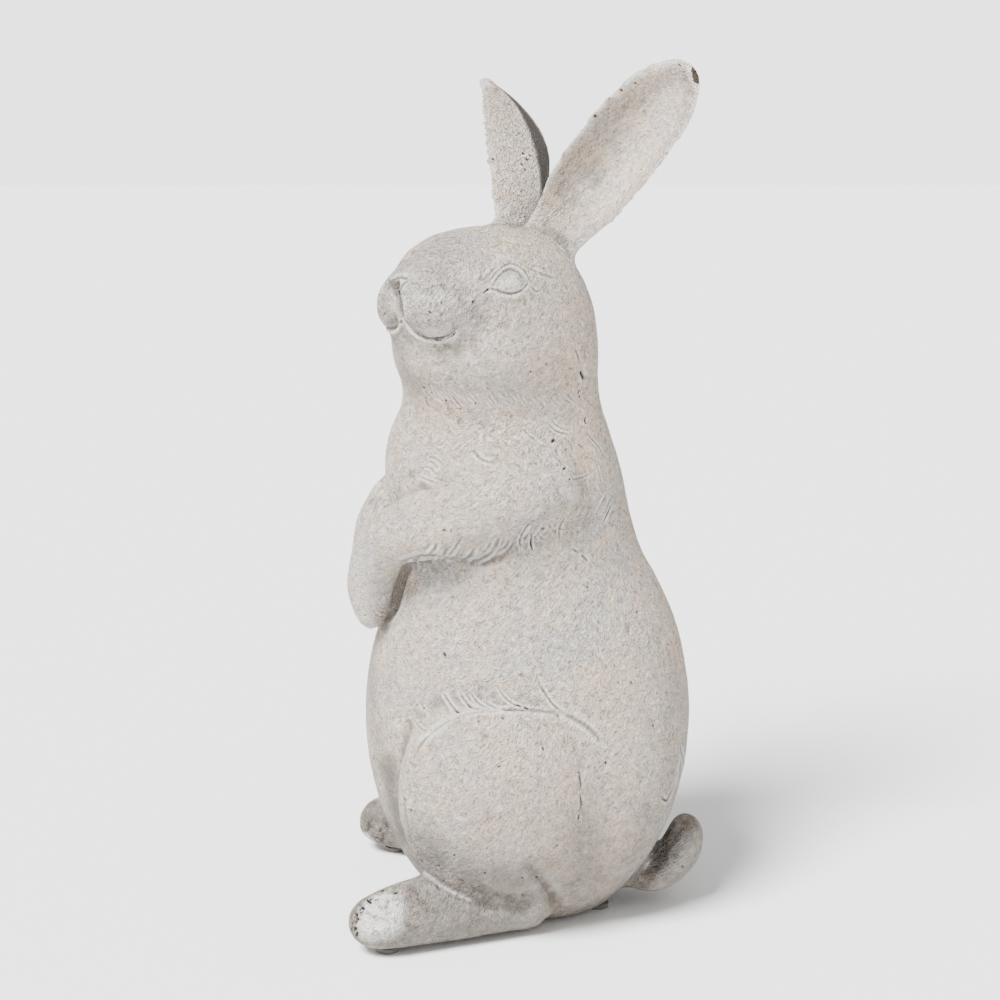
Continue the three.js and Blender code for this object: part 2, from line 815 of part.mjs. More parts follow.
// Underside: a stepped plug in the pouring hole, and felt discs let into the soles and the rump.
const plugHead = bar(plugCentre, up, glueGap, plugFlangeThickness, plugRadius + plugFlange, roundSides);
const plug = plugHead.add(bar(plugCentre, up, glueGap, castingWall, plugRadius, roundSides));
const felts = {};
for (const [name, side] of Object.entries(leftAndRight)) {
  const toe = new THREE.Vector3(
    side * (heelSpread + feltUnderToe * Math.sin(radians(footSplay))),
    heelSetback - feltUnderToe * Math.cos(radians(footSplay)),
    0,
  );
  const rump = new THREE.Vector3(side * feltUnderRumpSpread, feltUnderRumpSetback, 0);
  const recess = (centre) =>
    bar(centre, up, -cutOverrun, feltThickness + glueGap, feltRadius + glueGap, feltSides);
  felts["toe_" + name] = bar(toe, up, 0, feltThickness, feltRadius, feltSides);
  felts["rump_" + name] = bar(rump, up, 0, feltThickness, feltRadius, feltSides);
  feet[name] = feet[name].subtract(recess(toe));
  torsoBack = torsoBack.subtract(recess(rump));
}

addMesh("torso_front", torsoFront);
addMesh("torso_back", torsoBack);
addMesh("head", head);
for (const name of Object.keys(leftAndRight)) {
  addMesh("ear_" + name, ears[name]);
  addMesh("foreleg_" + name, forelegs[name]);
  addMesh("haunch_" + name, haunches[name]);
  addMesh("hind_foot_" + name, feet[name]);
}
addMesh("tail", tail);
addMesh("base_plug", plug);
for (const [name, { pin }] of Object.entries(dowels)) addMesh("dowel_" + name, pin, steel);
for (const [name, disc] of Object.entries(felts)) addMesh("felt_" + name, disc, felt);

// The origin is the middle of the figure's footprint, on the surface that it stands on.
const extent = new THREE.Box3().setFromObject(figure);
figure.position.set(-(extent.min.x + extent.max.x) / 2, -(extent.min.y + extent.max.y) / 2, 0);

export default figure;
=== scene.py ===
import math
import random

import bmesh
import bpy
import numpy as np
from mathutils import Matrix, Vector, noise
from mathutils.bvhtree import BVHTree
from mathutils.kdtree import KDTree


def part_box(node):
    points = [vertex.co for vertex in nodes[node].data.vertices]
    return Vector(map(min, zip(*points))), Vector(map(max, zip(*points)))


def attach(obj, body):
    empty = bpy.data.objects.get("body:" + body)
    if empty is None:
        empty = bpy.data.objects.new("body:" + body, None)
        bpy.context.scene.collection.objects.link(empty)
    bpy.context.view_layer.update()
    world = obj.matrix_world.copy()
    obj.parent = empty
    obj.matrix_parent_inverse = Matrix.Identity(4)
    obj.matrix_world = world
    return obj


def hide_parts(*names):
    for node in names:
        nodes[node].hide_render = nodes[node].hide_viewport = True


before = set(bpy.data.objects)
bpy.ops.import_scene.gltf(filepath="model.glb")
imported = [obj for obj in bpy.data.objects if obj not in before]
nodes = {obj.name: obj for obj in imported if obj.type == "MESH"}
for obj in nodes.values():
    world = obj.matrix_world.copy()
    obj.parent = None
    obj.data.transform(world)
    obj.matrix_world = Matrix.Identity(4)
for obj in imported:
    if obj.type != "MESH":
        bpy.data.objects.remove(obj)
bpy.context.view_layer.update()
scene = bpy.context.scene

# The camera: a long lens a little above the figure, square to its left side. Whatever is placed by a pixel
# of the square photograph goes through it. Lens and sensor are in metres, and Blender takes millimetres.
PHOTO_SIZE = 1000
LENS = 0.127
SENSOR = 0.036
CAMERA_DISTANCE = 1.25
CAMERA_ELEVATION = math.radians(15)
AIM = Vector((0.0090, -0.010, 0.1505))
to_camera = Vector((math.cos(CAMERA_ELEVATION), 0, math.sin(CAMERA_ELEVATION)))
camera = bpy.data.objects.new("camera", bpy.data.cameras.new("camera"))
camera.data.lens = LENS * 1000
camera.data.sensor_width = SENSOR * 1000
camera.location = AIM + to_camera * CAMERA_DISTANCE
camera.rotation_mode = "QUATERNION"
camera.rotation_quaternion = (-to_camera).to_track_quat("-Z", "Y")
scene.collection.objects.link(camera)
scene.camera = camera
bpy.context.view_layer.update()

# The body: hollow castings of filled resin for the torso and the head, with solid limbs, ears and tail glued
# on. They are filled at their joints and sprayed over, so their skin is made as one here: the solids are
# puffed until they touch, merged, and sponged until no facet is left.
SAME_PLACE = 1e-6
PUFF = 0.00025
MERGE_STEP = 0.0009
SPONGE_PASSES = 90
CAST = [
    "torso_front", "torso_back", "head", "ear_left", "ear_right", "foreleg_left", "foreleg_right",
    "haunch_left", "haunch_right", "hind_foot_left", "hind_foot_right", "tail", "base_plug",
]
merged = bmesh.new()
for name in CAST:
    part = bmesh.new()
    part.from_mesh(nodes[name].data)
    bmesh.ops.remove_doubles(part, verts=part.verts, dist=SAME_PLACE)
    bmesh.ops.recalc_face_normals(part, faces=part.faces)
    part.normal_update()
    for vert in part.verts:
        vert.co += vert.normal * PUFF
    puffed = bpy.data.meshes.new("puffed")
    part.to_mesh(puffed)
    part.free()
    merged.from_mesh(puffed)
body_mesh = bpy.data.meshes.new("body")
merged.to_mesh(body_mesh)
merged.free()
body = bpy.data.objects.new("body", body_mesh)
scene.collection.objects.link(body)
merge = body.modifiers.new("merge", "REMESH")
merge.mode = "VOXEL"
merge.voxel_size = MERGE_STEP
fused = bpy.data.meshes.new_from_object(body.evaluated_get(bpy.context.evaluated_depsgraph_get()))
bpy.data.objects.remove(body)


def largest_island(mesh):
    """Deletes all but the largest connected part of a mesh."""
    shape = bmesh.new()
    shape.from_mesh(mesh)
    shape.verts.ensure_lookup_table()
    seen = set()
    best = []
    for start in shape.verts:
        if start.index in seen:
            continue
        seen.add(start.index)
        island = [start]
        for vert in island:
            for edge in vert.link_edges:
                other = edge.other_vert(vert)
                if other.index not in seen:
                    seen.add(other.index)
                    island.append(other)
        best = max(best, island, key=len)
    keep = {vert.index for vert in best}
    bmesh.ops.delete(shape, geom=[vert for vert in shape.verts if vert.index not in keep], context="VERTS")
    shape.to_mesh(mesh)
    shape.free()


def read(mesh):
    """The points and the edges of a mesh as arrays."""
    points = np.empty(len(mesh.vertices) * 3)
    mesh.vertices.foreach_get("co", points)
    links = np.empty(len(mesh.edges) * 2, np.int32)
    mesh.edges.foreach_get("vertices", links)
    return points.reshape(-1, 3), links.reshape(-1, 2)


def relax(points, links, strength, passes):
    """Moves each point toward the middle of its neighbours, by its own strength at each pass."""
    start = np.concatenate((links[:, 0], links[:, 1]))
    end = np.concatenate((links[:, 1], links[:, 0]))
    order = np.argsort(start, kind="stable")
    end = end[order]
    count = np.bincount(start, minlength=len(points))
    first = np.concatenate(([0], np.cumsum(count)[:-1]))
    share = (strength / count)[:, None] if np.ndim(strength) else strength / count[:, None]
    for _ in range(passes):
        points = points + share * (np.add.reduceat(points[end], first) - points * count[:, None])
    return points


def sponge(points, links, strength, passes):
    """Takes off what is finer than the sponge and leaves the large forms at their size."""
    soft = relax(points, links, strength, passes)
    return soft + relax(points - soft, links, strength, passes)


def put(mesh, points):
    """Moves the points of a mesh."""
    mesh.vertices.foreach_set("co", points.ravel())
    mesh.update()


def normals_of(mesh):
    """The direction in which the skin faces at each point."""
    normals = np.empty(len(mesh.vertices) * 3)
    mesh.vertex_normals.foreach_get("vector", normals)
    return normals.reshape(-1, 3)


def tree_of(mesh):
    """A mesh laid out for casting rays at it and finding the nearest place on it."""
    polygons = [tuple(polygon.vertices) for polygon in mesh.polygons]
    return BVHTree.FromPolygons([vert.co for vert in mesh.vertices], polygons)


largest_island(fused)
points, links = read(fused)
# The thin ears, above the crown, are sponged far less than the trunk.
CROWN = 0.246
CROWN_FADE = 0.008
SPONGE_STRENGTH = 0.5
EARS_SPARED = 0.38
ear_share = np.clip((points[:, 2] - CROWN) / CROWN_FADE, 0, 1)
points = sponge(points, links, SPONGE_STRENGTH - EARS_SPARED * ear_share, SPONGE_PASSES)
put(fused, points)

# Where the castings meet they are filled with paste and rubbed down. The top of each foreleg melts into the
# chest, the back of each haunch into the rump, and the head into the neck, with no step left.
tail_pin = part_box("dowel_tail")
BODY_MIDDLE = Vector(((tail_pin[0][0] + tail_pin[1][0]) / 2, 0, 0))
ACROSS = Vector((1, 0, 0))
HEAD_TURN = math.radians(41)
HEAD_REACH = 0.0071
HEAD_MIDDLE = Vector((BODY_MIDDLE.x, -HEAD_REACH, 0))
HEAD_ACROSS = Vector((math.cos(HEAD_TURN), math.sin(HEAD_TURN), 0))


def sight_line(u, v):
    """Where the camera stands, and the direction in which it sees pixel (u, v)."""
    spread = SENSOR / LENS / PHOTO_SIZE
    turn = camera.matrix_world.to_3x3()
    ray = turn @ Vector(((u - PHOTO_SIZE / 2) * spread, (PHOTO_SIZE / 2 - v) * spread, -1))
    return camera.location.copy(), ray.normalized()


LINE_STEP = 0.0005
LINE_BREAK = 0.008


def on_skin(pixels, tree, step=1.5):
    """Points on the skin under a line of pixels, at even steps along a smooth curve through them."""
    ends = [Vector(pixel) for pixel in pixels]
    ends = [2 * ends[0] - ends[1]] + ends + [2 * ends[-1] - ends[-2]]
    found = []
    for before, a, b, after in zip(ends, ends[1:], ends[2:], ends[3:]):
        count = max(int((b - a).length / step), 1)
        for i in range(count + (b == ends[-2])):
            t = i / count
            place = 0.5 * (
                2 * a + (b - before) * t + (2 * before - 5 * a + 4 * b - after) * t * t
                + (3 * a - before - 3 * b + after) * t * t * t
            )
            hit = tree.ray_cast(*sight_line(place.x, place.y))[0]
            if hit:
                found.append(hit)
    even = found[:1]
    for a, b in zip(found, found[1:]):
        gap = (b - a).length
        count = max(int(gap / LINE_STEP), 1) if gap < LINE_BREAK else 1
        even += [a.lerp(b, (i + 1) / count) for i in range(count)]
    return even


def mirrored(line, tree, middle=BODY_MIDDLE, across=ACROSS):
    """The same line on the other side of the body or the head, laid back on the skin."""
    over = [point - across * (2 * (point - middle).dot(across)) for point in line]
    return [tree.find_nearest(point)[0] for point in over]


def in_box(points, low, high, margin):
    """Which points lie in a box with a margin round it."""
    return np.all((points > low - margin) & (points < high + margin), axis=1)


def nearest_on(line, points):
    """Which point of a line is nearest to each point, how far off it is, and the way from it."""
    apart = points[:, None] - line[None]
    gaps = np.linalg.norm(apart, axis=2)
    nearest = gaps.argmin(axis=1)
    rows = np.arange(len(points))
    return nearest, gaps[rows, nearest], apart[rows, nearest]


def eased(share):
    """A share from 0 to 1 with a soft start and a soft end."""
    return share * share * (3 - 2 * share)


POINTS_AT_ONCE = 4000


def closeness(points, line, radius):
    """1 on a line and 0 beyond a radius from it, for every point."""
    line = np.array(line).reshape(-1, 3)
    near = np.zeros(len(points))
    if not len(line):
        return near
    index = np.where(in_box(points, line.min(axis=0), line.max(axis=0), radius))[0]
    for chunk in np.array_split(index, max(len(index) // POINTS_AT_ONCE, 1)):
        if len(chunk):
            near[chunk] = np.clip(1 - nearest_on(line, points[chunk])[1] / radius, 0, 1)
    return eased(near)


tree = tree_of(fused)
FILLED_PIXELS = [
    ([(404, 486), (430, 476), (470, 464), (520, 458), (565, 462), (594, 474), (604, 492), (598, 512)], 0.014),
    ([(574, 470), (590, 486), (584, 500)], 0.012),
    ([(560, 722), (586, 742), (598, 780), (594, 830), (576, 866), (556, 890)], 0.014),
    ([(527, 905), (520, 880), (505, 868)], 0.007),
    ([(404, 391), (450, 396), (510, 398), (560, 394), (600, 386)], 0.007),
    ([(541, 190), (543, 200), (546, 210), (556, 216), (572, 222), (590, 230), (604, 240)], 0.009),
    ([(500, 216), (520, 214), (540, 212)], 0.005),
    ([(640, 872), (652, 858), (662, 842), (672, 826)], 0.003),
]
FILL_STRENGTH = 0.5
FILL_PASSES = 260
RUB_STRENGTH = 0.4
RUB_PASSES = 12
filled = np.zeros(len(points))
for pixels, radius in FILLED_PIXELS:
    line = on_skin(pixels, tree)
    filled = np.maximum(filled, closeness(points, line, radius))
    filled = np.maximum(filled, closeness(points, mirrored(line, tree), radius))
skin_normals = normals_of(fused)
heavy = relax(points, links, FILL_STRENGTH * filled, FILL_PASSES)
rise = np.einsum("ij,ij->i", heavy - points, skin_normals)
points = points + skin_normals * (np.clip(rise, 0, None) * filled)[:, None]
points = relax(points, links, RUB_STRENGTH * filled, RUB_PASSES)
# The roots of the ears are rubbed down further, on the side that faces the camera.
EAR_ROOT = [(545, 212), (556, 208), (570, 214), (586, 222), (602, 230)]
EAR_ROOT_REACH = 0.013
EAR_ROOT_PASSES = 40
near_root = on_skin(EAR_ROOT, tree)
far_root = mirrored(near_root, tree, HEAD_MIDDLE, HEAD_ACROSS)
rubbed = np.maximum(*(closeness(points, root, EAR_ROOT_REACH) for root in (near_root, far_root)))
rubbed = rubbed * np.clip(0.4 + skin_normals @ np.array(to_camera) * 1.5, 0, 1)
points = relax(points, links, FILL_STRENGTH * rubbed, EAR_ROOT_PASSES)
put(fused, points)
tree = tree_of(fused)

# Modelled lines: the maker draws the fur, the lids, the mouth and the folds with a wire tool in the clay, so
# each is a groove with a raised lip. They are only noted here, with their sizes in metres, and are pressed
# into the skin further down.
carved = []


def draw(pixels, width, depth, lip=0.0, pit=0.0, side=0, head=False, mirror=True):
    """Notes a groove under a line of pixels, and the same on the other side of the body or the head.

    A negative depth makes a ridge, a side of 1 or -1 leaves the lip on one side only, and a pit is painted
    black: painted shade with dirt.
    """
    line = on_skin(pixels, tree)
    if len(line) < 2:
        return
    carved.append((line, width, depth, lip, side, pit))
    if mirror:
        middle, across = (HEAD_MIDDLE, HEAD_ACROSS) if head else (BODY_MIDDLE, ACROSS)
        carved.append((mirrored(line, tree, middle, across), width, depth, lip, -side, pit))


def draw_all(lines, **how):
    """Notes a list of lines, each with its pixels, width and depth, and a lip and a pit where it has them."""
    for line in lines:
        draw(*line, **how)


def scattered(count, across, down, slope=0):
    """Random pixels, as many as asked for, in a field that may slope toward the right."""
    for _ in range(count):
        u = random.uniform(*across)
        yield u, random.uniform(*down) + slope * (u - across[0])


def pixel_along(edge, place):
    """The pixel at a place along an edge: 0 is its first corner, 1 its second, and so on."""
    k = min(int(place), len(edge) - 2)
    return [a + (b - a) * (place - k) for a, b in zip(edge[k], edge[k + 1])]


# Eyes: blank almond balls, modelled in the clay of the head and cast with it. Two lids close round each, the
# upper one a raised cord, with fine creases at both corners.
EYE_LINES = [
    ([(486, 287), (491, 279), (497, 271.5), (504, 266), (512, 263.5), (521, 267), (528, 275), (532, 284)],
     0.00045, 0.00042),
    ([(491, 288), (495, 281), (500, 275), (506, 270.5), (512, 269), (518.5, 272), (524, 279), (527, 285)],
     0.0004, 0.0005),
    ([(485, 291), (490, 288.5), (498, 290.5), (507, 293.5), (517, 292.5), (524, 289), (528, 284)],
     0.00045, 0.0006, 0.00012),
    ([(530, 285), (536, 291), (542, 290)], 0.00045, 0.00035, 0.0001),
    ([(523, 264), (536, 271), (548, 276), (561, 279)], 0.0006, 0.0002, 0.0001),
    ([(496, 266), (490, 272), (485, 279)], 0.0006, 0.0003, 0.0001),
    ([(523, 296), (525, 301), (524, 307)], 0.0007, 0.00022),
]
LIDS = [
    ([(488, 288), (493, 280), (498.5, 273), (505, 268), (512, 266), (520, 269.5), (526.5, 277),
     (530, 285)], 0.0007, -0.0005),
    ([(492, 294), (500, 296.5), (508, 298.5), (517, 297.5), (525, 293)], 0.0009, -0.0002),
]
EYE_CORNERS = [
    ([(484, 293), (488, 289.5)], 0.0004, 0.0005, 0, 1),
    ([(525, 287.5), (528, 284)], 0.0003, 0.0004, 0, 0.8),
]
draw_all(EYE_LINES + LIDS + EYE_CORNERS, head=True)

# Flakes: the thin coat has come off the two ears in small specks, along the rim of the near one and behind
# the ridge of the far one. Dirt has turned them black.
EAR_SPECKS = [
    (595, 116, 0.0006), (608, 98, 0.0004), (621, 90, 0.0004), (666, 153, 0.0005), (631, 202, 0.0006),
    (679, 65, 0.0004), (523, 152, 0.0006), (527, 158, 0.0006), (522, 163, 0.0005), (530, 154, 0.0005),
    (525, 168, 0.0004), (515, 124, 0.0004), (519, 132, 0.0004), (493, 158, 0.0004), (509, 103, 0.0004),
]
SPECK_DEPTH = 0.0005
SPECK_LENGTH = 0.8
for u, v, size in EAR_SPECKS:
    draw([(u, v), (u + SPECK_LENGTH, v + SPECK_LENGTH)], size, SPECK_DEPTH, pit=1, mirror=False)

# Nose, lips and whisker pads: they are modelled in the clay of the head. The wings of the nose curl round
# deep nostrils, the upper lip is parted, and pricked dots mark where the whiskers would stand.
NOSE_LINES = [
    ([(391.5, 283), (393.5, 279.5), (398, 277), (403, 277), (407.5, 279.5)], 0.0007, 0.0008, 0.0002, 0.4),
    ([(399, 281.5), (397.5, 286), (397, 291)], 0.0009, 0.001, 0, 0.3),
    ([(387.5, 274), (390.5, 283), (396, 292)], 0.0005, 0.0004, 0.0001),
    ([(397.5, 289), (398.6, 296)], 0.0006, 0.0009, 0, 1),
    ([(398.5, 295), (399.5, 304), (400.5, 312), (403, 320)], 0.001, 0.0013),
    ([(402.5, 321), (397.5, 325), (394.5, 333)], 0.0005, 0.0006, 0.0002),
    ([(429.6, 311.8), (430.6, 312.4)], 0.0004, 0.0004, 0, 1),
]
NOSTRIL_AND_MOUTH_CORNER = [
    ([(407, 280), (402, 284.5), (398.8, 291)], 0.0006, 0.0011, 0.0003, 0.6),
    ([(436.5, 342.6), (440.5, 342.3)], 0.0004, 0.0006, 0, 1),
    ([(451, 338.5), (454, 336), (456.5, 332)], 0.00045, 0.0007, 0, 1),
]
MOUTH = [
    (403, 319), (408, 327), (415, 334.5), (424, 339.5), (434, 341), (444, 339.5), (451, 336.5), (457, 331),
]
draw_all(NOSE_LINES, mirror=False)
draw_all(NOSTRIL_AND_MOUTH_CORNER, head=True)
draw(MOUTH, width=0.0008, depth=0.0016, lip=0.0003, side=1, head=True)
WHISKER_ROWS = 3
WHISKERS = 4
WHISKER_START = (414, 306)
WHISKER_STEP = 8
random.seed(11)
for row in range(WHISKER_ROWS):
    for i in range(WHISKERS):
        u = WHISKER_START[0] + WHISKER_STEP * i + random.uniform(-2, 2)
        v = WHISKER_START[1] + WHISKER_STEP * row + random.uniform(-2, 2)
        draw([(u, v), (u + 1.2, v + 0.4)], width=0.0004, depth=0.00022, pit=0.35, head=True)

# Neck and ruff: fur drawn in the clay hides where the head casting joins the torso. Fine slanting locks
# hang where the head sinks into the coat, and a few loose swirls lie over the chest.
NECK_LOCKS = 44
NECK_START = (425, 389)
NECK_STEP = 3.9
NECK_SAG = 4
for i in range(NECK_LOCKS):
    u = NECK_START[0] + NECK_STEP * i + random.uniform(-1.5, 1.5)
    v = NECK_START[1] + random.uniform(-3, 3) + NECK_SAG * math.sin(i / (NECK_LOCKS - 1) * math.pi)
    lean = random.uniform(4, 8)
    drop = random.uniform(8, 17)
    soft = random.uniform(0.6, 1) * (1 if u < 530 else 0.6)
    lock = [(u, v), (u + lean * 0.6, v + drop * 0.5), (u + lean * 1.8, v + drop)]
    draw(lock, width=0.0005, depth=0.00028 * soft, lip=0.00018 * soft, side=1)
RUFF_LINES = [
    ([(450, 393), (454, 399), (457, 403), (462, 409)], 0.0004, 0.0006, 0.0002, 0.8),
    ([(425.5, 400), (426.5, 404), (429, 407)], 0.0004, 0.0006, 0.0001, 1),
    ([(409.6, 410.5), (408.8, 413)], 0.0004, 0.0005, 0, 0.8),
    ([(472, 449), (480, 458), (488, 461.5), (496, 462.5)], 0.0006, 0.00022, 0.00018),
    ([(521.6, 427.7), (530, 436), (539, 442)], 0.0004, 0.00025, 0.00012),
    ([(546, 422), (553, 428), (559, 432), (572, 435)], 0.0004, 0.0004, 0.0002, 0.3),
    ([(549, 417), (558, 426), (568, 430)], 0.00035, 0.00025, 0.00012),
    ([(452, 453), (460, 446), (466, 440)], 0.0004, 0.00015, 0.0001),
    ([(500, 437), (506, 444), (514, 447)], 0.0004, 0.00015, 0.0001),
    ([(588, 432), (592.4, 439), (599.7, 448), (604, 456)], 0.0004, 0.0004, 0.00015, 0.7),
    ([(427, 461), (433, 463), (439, 469.5)], 0.00045, 0.00025, 0.00018),
    ([(424, 466), (430, 468), (436, 474)], 0.00045, 0.00022, 0.00018),
    ([(430, 456), (437, 459), (443, 465)], 0.00045, 0.0002, 0.00015),
    ([(416.5, 475), (428.5, 480), (439, 483)], 0.00045, 0.00022, 0.00018),
    ([(405, 484), (407.5, 488)], 0.0004, 0.0005, 0, 0.9),
    ([(551, 442), (554, 440), (556, 438.5)], 0.0007, 0.0008, 0, 1),
    ([(556, 449), (558, 454)], 0.0004, 0.0005, 0, 0.7),
    ([(560.6, 459.5), (562, 463)], 0.0004, 0.0005, 0, 0.7),
    ([(564.5, 468.5), (566, 467)], 0.0005, 0.0006, 0, 1),
    ([(570, 480), (584, 477), (596, 470)], 0.0004, 0.00022, 0.00012),
    ([(596, 462), (600, 474), (603, 488)], 0.0004, 0.00025, 0.00012, 0.1),
    ([(586.5, 416), (586, 421), (587, 425)], 0.0005, 0.0007, 0, 1),
    ([(580, 444.5), (582, 446)], 0.0005, 0.0004, 0, 0.6),
    ([(581, 388), (579.5, 393), (579, 398)], 0.0004, 0.0005, 0, 0.7),
    ([(575, 348), (578, 354), (580, 363)], 0.0004, 0.0005, 0, 0.7),
    ([(582.5, 373), (584.5, 378)], 0.0008, 0.0009, 0, 1),
]
draw_all(RUFF_LINES)
RUFF_STROKES = 44
RUFF_ACROSS = (410, 600)
RUFF_DOWN = (404, 488)
for u, v in scattered(RUFF_STROKES, RUFF_ACROSS, RUFF_DOWN):
    bend = random.uniform(-6, 6)
    length = random.uniform(10, 24)
    angle = math.radians(random.uniform(15, 55) if u < 550 else random.uniform(45, 80))
    du, dv = math.cos(angle) * length, math.sin(angle) * length
    depth = random.uniform(0.00005, 0.00014)
    stroke = [(u, v), (u + du / 2 + bend * 0.6, v + dv / 2 - bend * 0.5), (u + du, v + dv)]
    draw(stroke, width=0.0006, depth=depth, lip=0.00009, side=random.choice((-1, 1)))

# Forelegs: solid castings, each pinned and glued to the shoulder. A fringe of fur hangs along the under
# edge, and the paw is closed over its claws.
FRINGE_LINES = [
    ([(437, 544), (434, 550), (428, 555)], 0.0007, 0.0005, 0.0005),
    ([(454, 550), (449, 556), (441, 559)], 0.0006, 0.0005, 0.0005),
    ([(474, 549), (470, 556), (462, 560)], 0.0006, 0.0006, 0.0005, 0.2),
    ([(498, 544), (491, 553), (482, 559), (470, 563)], 0.0006, 0.0006, 0.0005, 0.3),
    ([(510, 541), (504, 548), (496, 553)], 0.0006, 0.0005, 0.0004, 0.2),
    ([(529, 525), (524, 533), (520, 542), (521.5, 548)], 0.0005, 0.001, 0.0003, 0.8),
    ([(532, 534), (531, 543.6), (532.7, 551)], 0.00045, 0.0009, 0.0003, 0.9),
    ([(565.5, 516), (560, 528), (559.5, 540)], 0.0005, 0.0004, 0.0002, 0.2),
    ([(612, 504.5), (608.5, 513), (603.5, 523)], 0.0004, 0.0006, 0.0002, 0.8),
    ([(537, 531), (541, 538), (547, 540)], 0.0005, 0.0002, 0.00015),
    ([(548, 524), (553, 531), (560, 534)], 0.0005, 0.0002, 0.00015),
    ([(396, 568), (408, 561), (430, 557), (452, 559.5), (472, 562.5), (492, 561), (506, 555), (518, 548)],
     0.0015, 0.0009),
]
draw_all(FRINGE_LINES)
FRINGE_EDGE = [(430, 553), (470, 558), (508, 545), (540, 530)]
FRINGE_LOCKS = 22
FRINGE_GAPS = 0.2
FRINGE_LOCK = [(0.7, -0.9), (0.3, -0.15), (-0.4, 0.5)]
for i in range(FRINGE_LOCKS):
    u, v = pixel_along(FRINGE_EDGE, i / (FRINGE_LOCKS - 1) * (len(FRINGE_EDGE) - 1))
    u += random.uniform(-2, 2)
    v += random.uniform(-2, 4)
    reach = random.uniform(6, 17)
    if random.random() < FRINGE_GAPS:
        continue
    lock = [(u + a * reach, v + b * reach) for a, b in FRINGE_LOCK]
    width = random.uniform(0.0004, 0.0008)
    depth = random.uniform(0.0002, 0.0006)
    draw(lock, width, depth, lip=random.uniform(0.0001, 0.0004), side=1)
SLEEVE_LOCKS = 16
SLEEVE_ACROSS = (545, 612)
SLEEVE_DOWN = (522, 534)
SLEEVE_SLOPE = -0.42
for u, v in scattered(SLEEVE_LOCKS, SLEEVE_ACROSS, SLEEVE_DOWN, SLEEVE_SLOPE):
    reach = random.uniform(5, 10)
    lock = [(u + reach * 0.5, v - reach), (u, v), (u - reach * 0.3, v + reach * 0.8)]
    draw(lock, width=0.0005, depth=0.00016, lip=0.00012, side=1)
PAW_LINES = [
    ([(411, 565), (404, 578), (399, 596), (394, 612), (385, 621)], 0.0012, 0.001),
    ([(431, 556), (420, 558), (411, 565)], 0.0014, 0.0008),
    ([(375, 606), (380, 611), (386.5, 613)], 0.0004, 0.0003, 0.0001),
    ([(372, 610), (378, 616), (386, 617)], 0.0004, 0.0002, 0.0001),
]
draw_all(PAW_LINES)

# Flanks and haunches: each haunch is a solid casting, pinned and glued to the side. A fold runs over the
# thigh with tufts that hang into it, and a crease runs behind the hock.
FLANK_LINES = [
    ([(404, 800), (405, 819), (409.5, 834)], 0.0012, 0.0004),
    ([(414, 756), (419, 746), (426, 736.5), (433, 730), (444, 722), (456, 716)], 0.0009, 0.0006, 0.0001),
    ([(456, 716), (468, 712.5), (482, 710.5), (505, 709.5), (529, 710), (545, 711.5), (559, 714)],
     0.0006, 0.0005, 0.00012),
    ([(556, 712), (566, 715), (578, 721), (592, 731), (602, 744)], 0.0009, 0.0003, 0.0001),
    ([(418, 862), (424, 871), (439, 883.5), (453.5, 892.6), (470, 900), (486, 904.5), (506, 907.5),
     (524, 908)], 0.0017, 0.0008),
    ([(524, 859), (532, 869), (540, 880), (548, 891), (555, 902), (559, 912)], 0.0024, 0.0013),
    ([(530, 869), (540, 883), (550, 897), (556, 908)], 0.0007, 0.0009, 0, 0.45),
    ([(443, 692.5), (446, 698), (450, 703.5), (455, 709), (460, 712)], 0.00045, 0.0008, 0.0003, 0.5),
    ([(453, 708.5), (457, 711.3), (460, 711.8)], 0.0006, 0.0006, 0, 1),
    ([(459.5, 692.5), (463, 698), (468, 703.5), (475, 708), (482, 709.3)], 0.00045, 0.0006, 0.00035, 0.1),
    ([(466, 702.8), (470, 706.5), (473, 708)], 0.0006, 0.0006, 0, 1),
    ([(470, 692.5), (474, 698), (479, 703), (486, 707)], 0.0004, 0.00035, 0.0003),
    ([(485, 701.5), (491, 705.5), (498, 708.3), (511, 709.5)], 0.0004, 0.0005, 0.0003, 0.2),
    ([(501, 708.6), (506, 709.3), (511, 709.6)], 0.0004, 0.0005, 0, 1),
    ([(497, 685.5), (500, 691), (505, 697.5), (514, 704), (527, 708.5)], 0.0004, 0.0004, 0.00025, 0.1),
    ([(517, 705), (520, 706)], 0.0005, 0.0005, 0, 1),
    ([(525, 707.6), (528, 708.6)], 0.0005, 0.0005, 0, 1),
    ([(537.5, 681), (544.5, 692.5), (549, 699), (554, 705.5), (563, 712.5)], 0.00045, 0.0006, 0.00015, 0.25),
    ([(414, 720), (421, 728.5), (430, 731)], 0.0004, 0.0003, 0.00015, 0.2),
    ([(419, 700), (424, 708), (431, 713)], 0.0004, 0.0002, 0.0001),
    ([(573, 549), (578, 552.5)], 0.0005, 0.0004, 0.0001, 0.7),
    ([(583, 556), (587, 560)], 0.0005, 0.0004, 0.0001, 0.7),
    ([(587, 612), (596, 626), (602, 638)], 0.0004, 0.0002, 0, 0.15),
    ([(609, 654), (616, 668), (621, 682)], 0.0004, 0.0002, 0, 0.15),
    ([(579.5, 772), (581.5, 784), (580.6, 790)], 0.0005, 0.0005, 0, 0.8),
    ([(580.6, 793), (582, 806), (579.5, 811)], 0.0005, 0.0005, 0, 0.7),
    ([(579.5, 816), (579, 819)], 0.0005, 0.0005, 0, 0.8),
    ([(443.5, 653.5), (444.5, 655)], 0.0006, 0.0005, 0, 1),
    ([(543, 748), (544, 749.5)], 0.0005, 0.0004, 0, 0.8),
    ([(680, 745), (684, 760), (683, 774)], 0.0009, 0.0003, 0.0002),
]
draw_all(FLANK_LINES)
FLANK_STROKES = 24
FLANK_ACROSS = (480, 650)
FLANK_DOWN = (640, 770)
THIGH_CORNER = (600, 712)
